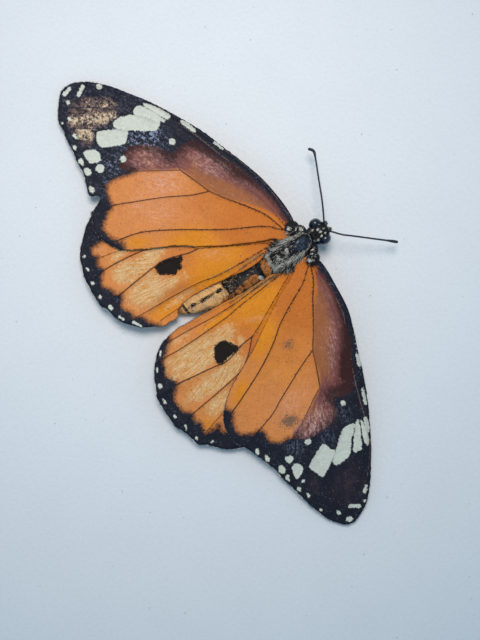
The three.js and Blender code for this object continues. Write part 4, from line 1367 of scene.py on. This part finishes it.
THORAX_TUFTS = [
    Tuft([(0, 3.2), (0, -3.6)], 2.6, 1500, 0.42, 0.014, 0.5, BACK, 0, 0, UP),
    Tuft([(0, 3.2), (0, -3.6)], 3, 1500, 0.5, 0.015, 0.6, BACK, 0, 0, DOWN),
    Tuft([(0, 2.8), (0, -3.8)], 2.4, 900, 0.55, 0.034, 0.6, (0, -0.8, 0), 0.02, 0, UP),
    Tuft([(-1.3, 2.4), (-1.5, 0.4), (-1.6, -3.6)], 0.34, 230, 0.95, 0.02, 0.45, (0.15, -1, 0), 0.9, 0, UP),
    Tuft([(-1.9, 1), (-2.1, -3.4)], 0.55, 120, 0.8, 0.018, 0.5, (-0.35, -1, 0), 0.85, 0, UP),
    Tuft([(1.2, 1), (1.1, -1.4), (0.8, -3.8)], 0.34, 230, 0.95, 0.02, 0.45, (-0.15, -1, 0), 0.9, 0, UP),
    Tuft([(1.8, 0.6), (1.8, -3.2)], 0.55, 120, 0.8, 0.018, 0.5, (0.4, -1, 0), 0.85, 0, UP),
    Tuft([(-1.9, -3.6), (0, -3.8), (1.2, -3.8)], 0.36, 300, 0.7, 0.021, 0.45, (0.3, -1, 0), 0.95, 0, UP),
    Tuft([(-1.5, 1.7), (-1.1, 2.7), (-0.5, 3.2), (0.6, 2.9), (1.1, 1.8), (1.15, 0.8)],
         0.1, 130, 0.6, 0.02, 0.1, (0.4, -0.7, 0), 0.75, 0, UP),
    Tuft([(-0.5, -0.8), (-0.1, -1)], 0.2, 60, 0.5, 0.028, 0.4, (0.8, -0.5, 0), 0.8, 0, UP),
    Tuft([(-0.4, -2.4), (0, -2.7), (0.3, -2.2)], 0.16, 80, 0.5, 0.03, 0.5, (0.6, 0.5, 0), 0.85, 0, UP),
    Tuft([(-0.8, -0.6), (0.8, -3.2)], 1.1, 190, 0.6, 0.018, 0.5, (0.3, -1, 0), 0.85, 0, UP),
    Tuft([(-2, -1.6), (-2.1, -2.8)], 0.6, 240, 1.1, 0.03, 0.8, (-0.9, -0.6, 0.3), 0, 0, UP),
    Tuft([(-2, -2), (-2.1, -2.8)], 0.5, 90, 1, 0.026, 0.9, (-0.9, -0.6, 0.3), 0.75, 0, UP),
    Tuft([(2, -1.6), (2.1, -2.8)], 0.6, 240, 1.1, 0.03, 0.8, (0.9, -0.6, 0.3), 0, 0, UP),
    Tuft([(2, -2), (2.1, -2.8)], 0.5, 90, 1, 0.026, 0.9, (0.9, -0.6, 0.3), 0.75, 0, UP),
    Tuft([(-2.2, 1), (-2.3, -1)], 0.4, 160, 0.7, 0.024, 0.7, (-0.8, -0.6, 0.1), 0.4, 0, ROUND),
    Tuft([(2.2, 1), (2.3, -1)], 0.4, 160, 0.7, 0.024, 0.7, (0.8, -0.6, 0.1), 0.35, 0, ROUND),
    *[Tuft([(x, 1.65), (x, 1.6)], 1.1, 260, 0.4, 0.035, 0.6, BACK, 0.04, 0, UP) for x in (-2.76, 2.76)],
    *[Tuft([(x, 1.65), (x, 1.6)], 1, 24, 0.35, 0.03, 0.6, BACK, 0.7, 0, UP) for x in (-2.76, 2.76)],
    dot(-1.8, 2.7, 0.26, 60), dot(1.75, 2.4, 0.24, 60), dot(-2.8, 1.2, 0.26, 60), dot(2.7, 1.15, 0.26, 60),
    dot(-2.1, 2, 0.16, 30), dot(2.1, 1.9, 0.14, 24),
    *[dot(x, 2, 0.18, 40, side=DOWN) for x in (-1.3, 1.3)],
    *[dot(x, 0.4, 0.18, 40, side=DOWN) for x in (-1.6, 1.6)],
    *[dot(x, -1.4, 0.18, 40, side=DOWN) for x in (-1.5, 1.5)],
]
HEAD_TUFTS = [
    Tuft([(-0.6, 5.2), (0.6, 5.2)], 1, 700, 0.4, 0.016, 0.7, (0, 0.5, 0), 0.04, 0, ROUND),
    Tuft([(-0.5, 5.85), (0.5, 5.85)], 0.4, 260, 0.42, 0.02, 0.8, (0, 1, 0.3), 0.08, 0, ROUND),
    Tuft([(-0.7, 4), (0.7, 4)], 0.5, 300, 0.4, 0.016, 0.7, (0, -0.6, 0.4), 0.1, 0, UP),
    Tuft([(-0.8, 5.6), (-0.9, 5.8)], 0.2, 60, 0.4, 0.02, 0.8, (-0.6, 0.6, 0.4), 0, 0, UP),
    Tuft([(0.8, 5.6), (0.9, 5.8)], 0.2, 60, 0.4, 0.02, 0.8, (0.6, 0.6, 0.4), 0, 0, UP),
    dot(-0.95, 5.3, 0.16), dot(-0.35, 4.7, 0.15), dot(0.15, 4.85, 0.13), dot(0.7, 5.35, 0.15),
    dot(0.7, 4.65, 0.14), dot(-0.7, 4.05, 0.16), dot(0.9, 3.95, 0.15), dot(0, 5.5, 0.13),
    dot(-0.6, 4.5, 0.2, 40, side=DOWN), dot(0.6, 4.5, 0.2, 40, side=DOWN),
]
ABDOMEN_TUFTS = [
    Tuft([(-0.3, -4.3), (-0.5, -11.2)], 2, 1000, 0.36, 0.02, 0.35, BACK, 0, 0, UP),
    Tuft([(-0.9, -5.6), (-0.9, -11)], 0.9, 30, 0.36, 0.018, 0.4, BACK, 0.5, 0.3, UP),
    Tuft([(-0.9, -11.5), (-1.9, -18)], 2, 600, 0.34, 0.022, 0.3, BACK, 0.75, 0.9, UP),
    Tuft([(-0.3, -12), (-0.9, -17)], 0.5, 130, 0.5, 0.022, 0.35, (-0.1, -1, 0), 0.8, 0.4, UP),
    Tuft([(-2, -12), (-2.3, -17)], 0.4, 90, 0.5, 0.022, 0.35, (-0.1, -1, 0), 0.8, 0.4, UP),
    Tuft([(-1.05, -12), (-1.4, -17.2)], 0.26, 160, 0.45, 0.022, 0.35, (-0.3, -1, 0), 0, 0, UP),
    Tuft([(-0.8, -4.6), (0.7, -4.8)], 0.5, 260, 0.3, 0.016, 0.3, BACK, 0.35, 1, UP),
    Tuft([(0.3, -7), (0.4, -8.4)], 0.5, 200, 0.3, 0.016, 0.3, BACK, 0.3, 1, UP),
    Tuft([(0.7, -6.1), (1, -5.9)], 0.24, 110, 0.4, 0.02, 0.5, BACK, 0.9, 0, UP),
    Tuft([(-1.6, -4.5), (-1.6, -6)], 0.16, 80, 0.5, 0.02, 0.5, BACK, 0.8, 0, UP),
    Tuft([(-1.2, -5.4), (1, -5.6)], 0.2, 240, 0.4, 0.018, 0.4, BACK, 0, 0, UP),
    Tuft([(-1.9, -11.1), (0.2, -11.1)], 0.22, 200, 0.4, 0.02, 0.4, BACK, 0, 0, UP),
    Tuft([(-0.5, -5), (-1.8, -18)], 2.2, 1300, 0.3, 0.014, 0.35, BACK, 0.4, 0.5, DOWN),
    Tuft([(-2.6, -18.6), (-1.7, -18.8)], 0.5, 240, 0.45, 0.018, 0.5, (0, -1, 0), 0.25, 0.8, ROUND),
]


def surface_points(points, faces, count, chance):
    """Places spread evenly over a form, with the direction away from it."""
    corners = np.array([(face[0], face[i], face[i + 1]) for face in faces for i in range(1, len(face) - 1)])
    a, b, c = (points[corners[:, i]] for i in range(3))
    normal = np.cross(b - a, c - a)
    area = np.linalg.norm(normal, axis=1)
    chosen = chance.choice(len(corners), count, p=area / area.sum())
    u, v = chance.random((2, count, 1))
    fold = u + v > 1
    u, v = np.where(fold, 1 - u, u), np.where(fold, 1 - v, v)
    places = a[chosen] + u * (b - a)[chosen] + v * (c - a)[chosen]
    return places, (normal / np.maximum(area, 1e-12)[:, None])[chosen]


HAIR_LOWEST = 0.01
HAIR_HIGHEST = 6.82
HAIR_ROOTED = 0.08
HAIR_PLACES = 260000
HAIR_SPREAD = 0.28
HAIR_CURVE = 0.16
HAIR_LIE = 0.12
HAIR_FACING = 0.12

# Each section of a hair: its way along the hair and its share of the thickness
HAIR_SECTIONS = ((0, 1), (0.4, 0.85), (0.75, 0.5))
HAIR_POINTS = 10


def hair_form(roots, ways, lengths, widths, bends):
    """Tapering hairs of three sides, each bent toward its own side."""
    count = len(roots)
    side = unit(np.cross(ways, (0.31, 0.17, 0.93)))
    up = np.cross(side, ways)
    rings = []
    for t, thick in HAIR_SECTIONS:
        centre = roots + ways * (lengths * (t - HAIR_ROOTED))[:, None] + bends * (lengths * t * t)[:, None]
        for corner in range(3):
            angle = corner / 3 * math.tau
            turned = math.cos(angle) * side + math.sin(angle) * up
            rings.append(centre + turned * (widths * thick)[:, None])
    rings.append(roots + ways * (lengths * (1 - HAIR_ROOTED))[:, None] + bends * lengths[:, None])
    points = np.stack(rings, axis=1).reshape(-1, 3)
    pattern = []
    for row in (0, 3):
        for j in range(3):
            k = (j + 1) % 3
            pattern.append((row + j, row + k, row + 3 + k, row + 3 + j))
    pattern += [(6 + j, 6 + (j + 1) % 3, 9) for j in range(3)]
    starts = range(0, count * HAIR_POINTS, HAIR_POINTS)
    faces = [tuple(index + start for index in face) for start in starts for face in pattern]
    return points, faces


def build_hair(name, form, tufts, material, slot, seed):
    """All the tufts of one form as one piece."""
    chance = np.random.default_rng(seed)
    parts = []
    light = []
    warm = []
    places, normals = surface_points(*form, HAIR_PLACES, chance)
    for tuft in tufts:
        away = distance_to(places[:, :2], np.array(tuft.route, float))
        accepted = chance.random(len(places)) < np.exp(-(away / tuft.reach) ** 4)
        if tuft.side:
            accepted &= normals[:, 2] * tuft.side > HAIR_FACING
        rows = chance.permutation(np.flatnonzero(accepted))[:tuft.count]
        count = len(rows)
        ways = normals[rows] * tuft.rise + np.array(tuft.lean, float)
        ways = unit(ways + chance.normal(0, HAIR_SPREAD, (count, 3)))
        lengths = tuft.length * chance.uniform(0.6, 1.2, count)
        widths = tuft.width * chance.uniform(0.8, 1.2, count)
        bends = chance.normal(0, HAIR_CURVE, (count, 3)) - normals[rows] * HAIR_LIE
        parts.append(hair_form(places[rows], ways, lengths, widths, bends))
        spread = 0.5 if tuft.light < WHITE else 0.1
        shades = np.clip(tuft.light * chance.uniform(1 - spread, 1 + spread, count), 0, 1)
        light.append(np.repeat(shades, HAIR_POINTS))
        warm.append(np.full(count * HAIR_POINTS, float(tuft.warm)))
    points, faces = joined(parts)
    points[:, 2] = np.clip(points[:, 2], HAIR_LOWEST, HAIR_HIGHEST)
    fields = {"light": np.concatenate(light), "warmth": np.concatenate(warm)}
    add_piece(name, points, faces, [material], slot, fields)


def hair_finish(settings):
    """Hair from black over grey to white, or rusty to tan where it is warm."""
    finish = Finish("hair", roughness=0.6, specular=0.25)
    light = finish.attribute("light")
    grey = finish.mix(settings.skin[:], settings.ash[:], finish.step(light, 0.0, 0.62))
    grey = finish.mix(grey, settings.white[:], finish.step(light, 0.65, 0.95))
    rusty = finish.mix(settings.rust[:], settings.tan[:], finish.step(light, 0.2, 0.6))
    colour = finish.mix(grey, rusty, finish.attribute("warmth"))
    return finish.wear(finish.scaled(colour, 1.0 + finish.noise(0.4, 2.0, 1.0) * 0.15))


class BodySettings(bpy.types.PropertyGroup):
    """Colours of the body, its hair and its limbs."""

    skin: colour_property("Skin", "Bluish black skin and hair", (21, 21, 26))
    # Also the colour of the painted bluish reflection on the scutum
    sheen: colour_property("Skin Sheen", "Lighter bluish parts of the skin", (84, 104, 136))
    rust: colour_property("Rust", "Orange-brown scales of the abdomen", (176, 106, 48))
    tan: colour_property("Tan", "Tan scales of the rear of the abdomen", (238, 186, 118))
    umber: colour_property("Umber", "Grey-brown of the rear of the abdomen", (128, 98, 66))
    ash: colour_property("Ash", "Grey hair and scales", (222, 226, 226))
    white: colour_property("White", "White scale spots", (230, 230, 222))
    eye: colour_property("Eye", "Dark eye", (6, 24, 50))
    limb: colour_property("Limb", "Antennae and legs", (40, 50, 70))


def limb_finish(name, settings, speck):
    """Dark, finely ringed skin, with pale specks where it is asked for."""
    finish = Finish(name, roughness=0.5, specular=0.45)
    grain = finish.noise(0.12, 3.0, 1.0)
    lumps = finish.noise(0.8, 2.0, 2.0)
    colour = finish.mix(settings.limb[:], settings.skin[:], finish.step(lumps + grain, -0.8, 0.8))
    pale = finish.step(grain * 0.8 + lumps * 0.3, 0.55, 0.75)
    colour = finish.mix(colour, settings.white[:], pale * speck)
    return finish.wear(colour, 0.5 + grain * 0.05, finish.bump(grain, 0.01, 0.5))


EYE_FACETS_PER_METRE = 22000.0


def eye_finish(settings):
    """A glossy dark eye with a net of tiny facets."""
    finish = Finish("eye", roughness=0.18, specular=0.5)
    finish.shader.inputs["Coat Weight"].default_value = 0.5
    finish.shader.inputs["Coat Roughness"].default_value = 0.08
    net = {"Vector": finish.place, "Scale": EYE_FACETS_PER_METRE}
    facets = finish.node("ShaderNodeTexVoronoi", {"feature": "F1"}, net)
    lumps = finish.noise(0.7, 2.0, 1.0)
    colour = finish.mix(settings.eye[:], settings.skin[:], finish.step(lumps, -0.2, 1.4))
    return finish.wear(colour, 0.28 + lumps * 0.03, finish.bump(facets, 0.01, 0.35))


class BUTTERFLY_OT_body(bpy.types.Operator):
    """Builds the thorax, the head, the abdomen and the flaps over the wing roots"""

    bl_idname = "butterfly.body"
    bl_label = "Body"

    def execute(self, context):
        settings = context.scene.butterfly_body
        skin = body_finish(settings)
        lobe_radii = (0.85, 0.62, 0.62)
        lobes = joined([
            ellipsoid((side * 1.7, 2.65, 4.95), lobe_radii, -0.35 * side, "Z") for side in (-1, 1)])
        thorax = thorax_form()
        points, faces = joined([thorax, lobes])
        fields = body_fields(points)
        fields["gloss"][len(thorax[0]):] = 0.8
        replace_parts(add_piece("thorax_plates", points, faces, [skin], "body", fields), "thorax")

        neck = rod([(0, 3.2, 3.9), (0, 4.4, 4)], 0.85, 0.1, 24)
        head = joined([ellipsoid((0, 4.75, 4), (1.45, 1.2, 1.35), around=60), neck])
        fields = body_fields(head[0], 0.3)
        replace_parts(add_piece("head_capsule", *head, [skin], "body", fields), "head")

        abdomen = abdomen_form()
        piece = add_piece("abdomen_rings", *abdomen, [skin], "abdomen", body_fields(abdomen[0]))
        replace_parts(piece, "abdomen")

        flaps = []
        for name, side in (("left", -1), ("right", 1)):
            flap = ellipsoid((side * 2.76, 1.65, 5.7), (0.95, 1.05, 0.36), side * 0.35)
            piece = add_piece(f"{name}_tegula_scaled", *flap, [skin], "body", body_fields(flap[0]))
            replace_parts(piece, f"{name}_tegula")
            flaps.append(flap)

        hair = hair_finish(settings)
        build_hair("thorax_hair", joined([thorax, lobes, *flaps]), THORAX_TUFTS, hair, "body", 1)
        build_hair("head_hair", head, HEAD_TUFTS, hair, "body", 2)
        build_hair("abdomen_hair", abdomen, ABDOMEN_TUFTS, hair, "abdomen", 3)
        return {"FINISHED"}


class BUTTERFLY_OT_head_parts(bpy.types.Operator):
    """Builds the eyes, the palps, the coiled tongue and the antennae"""

    bl_idname = "butterfly.head_parts"
    bl_label = "Head Parts"

    def execute(self, context):
        settings = context.scene.butterfly_body
        eye = eye_finish(settings)
        antenna = limb_finish("antenna", settings, 0.15)
        hair = hair_finish(settings)
        for name, side in (("left", -1), ("right", 1)):
            ball = ellipsoid((side * 1.25, 4.85, 3.9), (0.86, 0.98, 1.2), side * 0.2, around=56)
            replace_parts(add_piece(f"{name}_eye_faceted", *ball, [eye], "eye"), f"{name}_eye")

            route = [(side * 0.42, 6.05, 2.9), (side * 0.5, 6.3, 3.6), (side * 0.6, 6.25, 4.35)]
            palp = rod(route, lambda t: 0.24 - 0.08 * t, 0.05, 14, (1, 0, 0))
            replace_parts(add_piece(f"{name}_palp_scaled", *palp, [antenna], "body"), f"{name}_palp")
            tufts = [
                Tuft([(side * 0.4, 6), (side * 0.6, 6.3)],
                     1, 260, 0.22, 0.016, 0.8, PALP_LEAN, 0.05, 0, ROUND),
                Tuft([(side * 0.35, 6), (side * 0.45, 6.1)],
                     0.15, 60, 0.2, 0.03, 0.8, PALP_LEAN, WHITE, 0, ROUND),
            ]
            build_hair(f"{name}_palp_hair", palp, tufts, hair, "body", 20 + side)

        for name, route in ANTENNAE.items():
            line = rod(route, antenna_radius, 0.06, 12)
            socket = ellipsoid(route[0], (0.2, 0.2, 0.2), around=16)
            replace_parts(add_piece(f"{name}_ringed", *joined([line, socket]), [antenna], "antenna"), name)

        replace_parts(add_piece("proboscis_coil", *proboscis_form(), [antenna], "body"), "proboscis")
        return {"FINISHED"}


class BUTTERFLY_OT_legs(bpy.types.Operator):
    """Builds the six folded legs with their spines"""

    bl_idname = "butterfly.legs"
    bl_label = "Legs"

    def execute(self, context):
        settings = context.scene.butterfly_body
        skin = limb_finish("leg", settings, 0.6)
        hair = hair_finish(settings)
        for pair, (size, joints) in LEGS.items():
            for name, side in (("left", -1), ("right", 1)):
                leg = leg_form(side, size, joints)
                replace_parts(add_piece(f"{name}_{pair}_jointed", *leg, [skin], "leg"), f"{name}_{pair}")
                route = [(side * x, y) for x, y, _ in joints]
                tufts = [Tuft(route, 2, 220, 0.26, 0.016, 0.7, (0, -0.6, 0), 0.1, 0, ROUND)]
                build_hair(f"{name}_{pair}_spines", leg, tufts, hair, "leg", 30 + side)
        return {"FINISHED"}


# Fringe of scales along the outer margins

FRINGE_SPACING = 0.085
FRINGE_START = 14
FRINGE_REAR = -11
FRINGE_TIPS = 37
FRINGE_SHARE = 0.9
FRINGE_WIDTHS = (0.025, 0.04)
FRINGE_SPOT_REACH = 1.1


class BUTTERFLY_OT_fringe(bpy.types.Operator):
    """Adds the short scales that stand out along the outer margins"""

    bl_idname = "butterfly.fringe"
    bl_label = "Fringe"

    def execute(self, context):
        settings = context.scene.butterfly_wings
        hair = hair_finish(context.scene.butterfly_body)
        length = settings.fringe / MM
        for seed, (name, wing) in enumerate(WINGS.items()):
            chance = np.random.default_rng(50 + seed)
            rim = wing_rim(wing["outline"], FRINGE_SPACING, wing_seed(seed))
            out = outward_of(rim)
            probe = rim + out * 0.1
            out = np.where(inside(probe, rim)[:, None], -out, out)
            margin = (rim[:, 1] < FRINGE_REAR) | (np.abs(rim[:, 0]) > FRINGE_TIPS)
            margin &= np.linalg.norm(rim, axis=1) > FRINGE_START
            margin &= chance.random(len(rim)) < FRINGE_SHARE
            roots = rim[margin]
            out = out[margin]
            count = len(roots)
            heights = sheet_height(roots) + wing["lift"]
            level = out + chance.normal(0, 0.2, out.shape)
            ways = unit(np.column_stack([level, chance.normal(0, 0.15, count)]))
            lengths = length * chance.uniform(0.5, 1.1, count)
            widths = chance.uniform(*FRINGE_WIDTHS, count)
            bends = chance.normal(0, 0.1, (count, 3))
            form = hair_form(np.column_stack([roots, heights]), ways, lengths, widths, bends)
            white = np.full(count, -1.0)
            for x, y, *_ in wing["white_spots"]:
                gap = np.hypot(roots[:, 0] - x, roots[:, 1] - y)
                white = np.maximum(white, (gap < FRINGE_SPOT_REACH) * chance.uniform(0.3, 1.2, count))
            light = np.where(white > 0.6, 0.9, chance.uniform(0, 0.25, count))
            fields = {"light": np.repeat(light, HAIR_POINTS), "warmth": np.zeros(count * HAIR_POINTS)}
            add_piece(f"{name}_fringe", *form, [hair], wing_slot(name), fields)
        return {"FINISHED"}


# Floor, light and camera

class StageSettings(bpy.types.PropertyGroup):
    """The floor, the lights and the camera."""

    floor: colour_property("Floor", "Pale, faintly blue floor", (229, 238, 249))
    camera_height: length_property("Camera Height", "Distance from the floor to the camera", 200)
    camera_lens: bpy.props.FloatProperty(
        name="Lens", description="Focal length in millimetres", default=75, min=1)
    camera_turn: bpy.props.FloatProperty(
        name="Camera Turn", description="Turn of the picture about the vertical", default=math.radians(56),
        subtype="ANGLE")
    key_power: bpy.props.FloatProperty(
        name="Key Light", description="Power of the soft light", default=5.6, min=0)
    sky_power: bpy.props.FloatProperty(
        name="Sky", description="Strength of the light from all round", default=0.42, min=0)


# The place under the camera, in millimetres, and the stage in metres
CAMERA_OVER = (4.23, -12.16)
FLOOR_REACH = 1.5
KEY_AIM = (-0.009, 0.032)
KEY_TILT = 0.1
KEY_HEIGHT = 0.3
KEY_RADIUS = 0.09
KEY_CONE = math.radians(34.5)
KEY_COLOUR = (1.0, 0.857, 0.73)
SKY_COLOUR = (0.58, 0.83, 1.0, 1.0)


def floor_finish(settings):
    """Pale paper with a fine grain and a few dark specks."""
    finish = Finish("floor_paper", roughness=0.85, specular=0.2)
    mottle = finish.noise(9.0, 3.0, 1.0)
    grain = finish.noise(0.5, 3.0, 2.0)
    specks = finish.step(finish.noise(0.7, 1.0, 3.0) + mottle * 0.3, 1.0, 1.25)
    colour = finish.scaled(settings.floor[:], 1.0 + mottle * 0.016 + grain * 0.028 - specks * 0.3)
    return finish.wear(colour, None, finish.bump(grain + mottle, 0.035, 0.6))


def add_key(place, target, power):
    """The soft warm light, aimed at a place on the floor."""
    lamp = bpy.data.lights.new("key", "SPOT")
    lamp.shadow_soft_size = KEY_RADIUS
    lamp.spot_size = KEY_CONE
    lamp.spot_blend = 1.0
    lamp.energy = power
    lamp.color = KEY_COLOUR
    light = bpy.data.objects.new("key", lamp)
    light.location = place
    light.rotation_euler = (Vector(target) - Vector(place)).to_track_quat("-Z", "Y").to_euler()
    bpy.context.scene.collection.objects.link(light)


class BUTTERFLY_OT_stage(bpy.types.Operator):
    """Adds the pale floor, the soft light and the camera that looks straight down"""

    bl_idname = "butterfly.stage"
    bl_label = "Stage"

    def execute(self, context):
        settings = context.scene.butterfly_stage
        mesh = bpy.data.meshes.new("floor")
        corners = [(x * FLOOR_REACH, y * FLOOR_REACH, 0) for x, y in ((-1, -1), (1, -1), (1, 1), (-1, 1))]
        mesh.from_pydata(corners, [], [(0, 1, 2, 3)])
        mesh.materials.append(floor_finish(settings))
        floor = bpy.data.objects.new("floor", mesh)
        context.scene.collection.objects.link(floor)

        turn = settings.camera_turn
        right = Vector((math.cos(turn), math.sin(turn), 0))
        up = Vector((-math.sin(turn), math.cos(turn), 0))
        middle = Vector((CAMERA_OVER[0] * MM, CAMERA_OVER[1] * MM, 0))
        target = middle + right * KEY_AIM[0] + up * KEY_AIM[1]
        add_key(target + up * KEY_TILT + Vector((0, 0, KEY_HEIGHT)), target, settings.key_power)

        world = bpy.data.worlds.new("studio")
        world.use_nodes = True
        sky = world.node_tree.nodes["Background"]
        sky.inputs["Color"].default_value = SKY_COLOUR
        sky.inputs["Strength"].default_value = settings.sky_power
        context.scene.world = world
        context.scene.view_settings.view_transform = "Standard"

        lens = bpy.data.cameras.new("camera")
        lens.lens = settings.camera_lens
        lens.clip_start = 0.01
        camera = bpy.data.objects.new("camera", lens)
        camera.location = middle + Vector((0, 0, settings.camera_height))
        camera.rotation_euler = (0, 0, turn)
        context.scene.collection.objects.link(camera)
        context.scene.camera = camera
        return {"FINISHED"}


class BUTTERFLY_PT_panel(bpy.types.Panel):
    """Lists the steps that build the butterfly"""

    bl_idname = "BUTTERFLY_PT_panel"
    bl_label = "Butterfly"
    bl_space_type = "VIEW_3D"
    bl_region_type = "UI"
    bl_category = "Butterfly"

    def draw(self, context):
        for operator in OPERATORS:
            self.layout.operator(operator.bl_idname)


OPERATORS = (
    BUTTERFLY_OT_wings,
    BUTTERFLY_OT_fringe,
    BUTTERFLY_OT_body,
    BUTTERFLY_OT_head_parts,
    BUTTERFLY_OT_legs,
    BUTTERFLY_OT_stage,
)
SETTINGS = {
    "butterfly_wings": WingSettings,
    "butterfly_body": BodySettings,
    "butterfly_stage": StageSettings,
}


def register():
    for group in SETTINGS.values():
        bpy.utils.register_class(group)
    for name, group in SETTINGS.items():
        setattr(bpy.types.Scene, name, bpy.props.PointerProperty(type=group))
    for operator in OPERATORS:
        bpy.utils.register_class(operator)
    bpy.utils.register_class(BUTTERFLY_PT_panel)


def unregister():
    bpy.utils.unregister_class(BUTTERFLY_PT_panel)
    for operator in reversed(OPERATORS):
        bpy.utils.unregister_class(operator)
    for name, group in SETTINGS.items():
        delattr(bpy.types.Scene, name)
        bpy.utils.unregister_class(group)


def main():
    register()
    bpy.ops.butterfly.wings()
    bpy.ops.butterfly.fringe()
    bpy.ops.butterfly.body()
    bpy.ops.butterfly.head_parts()
    bpy.ops.butterfly.legs()
    bpy.ops.butterfly.stage()


if __name__ == "__main__":
    main()
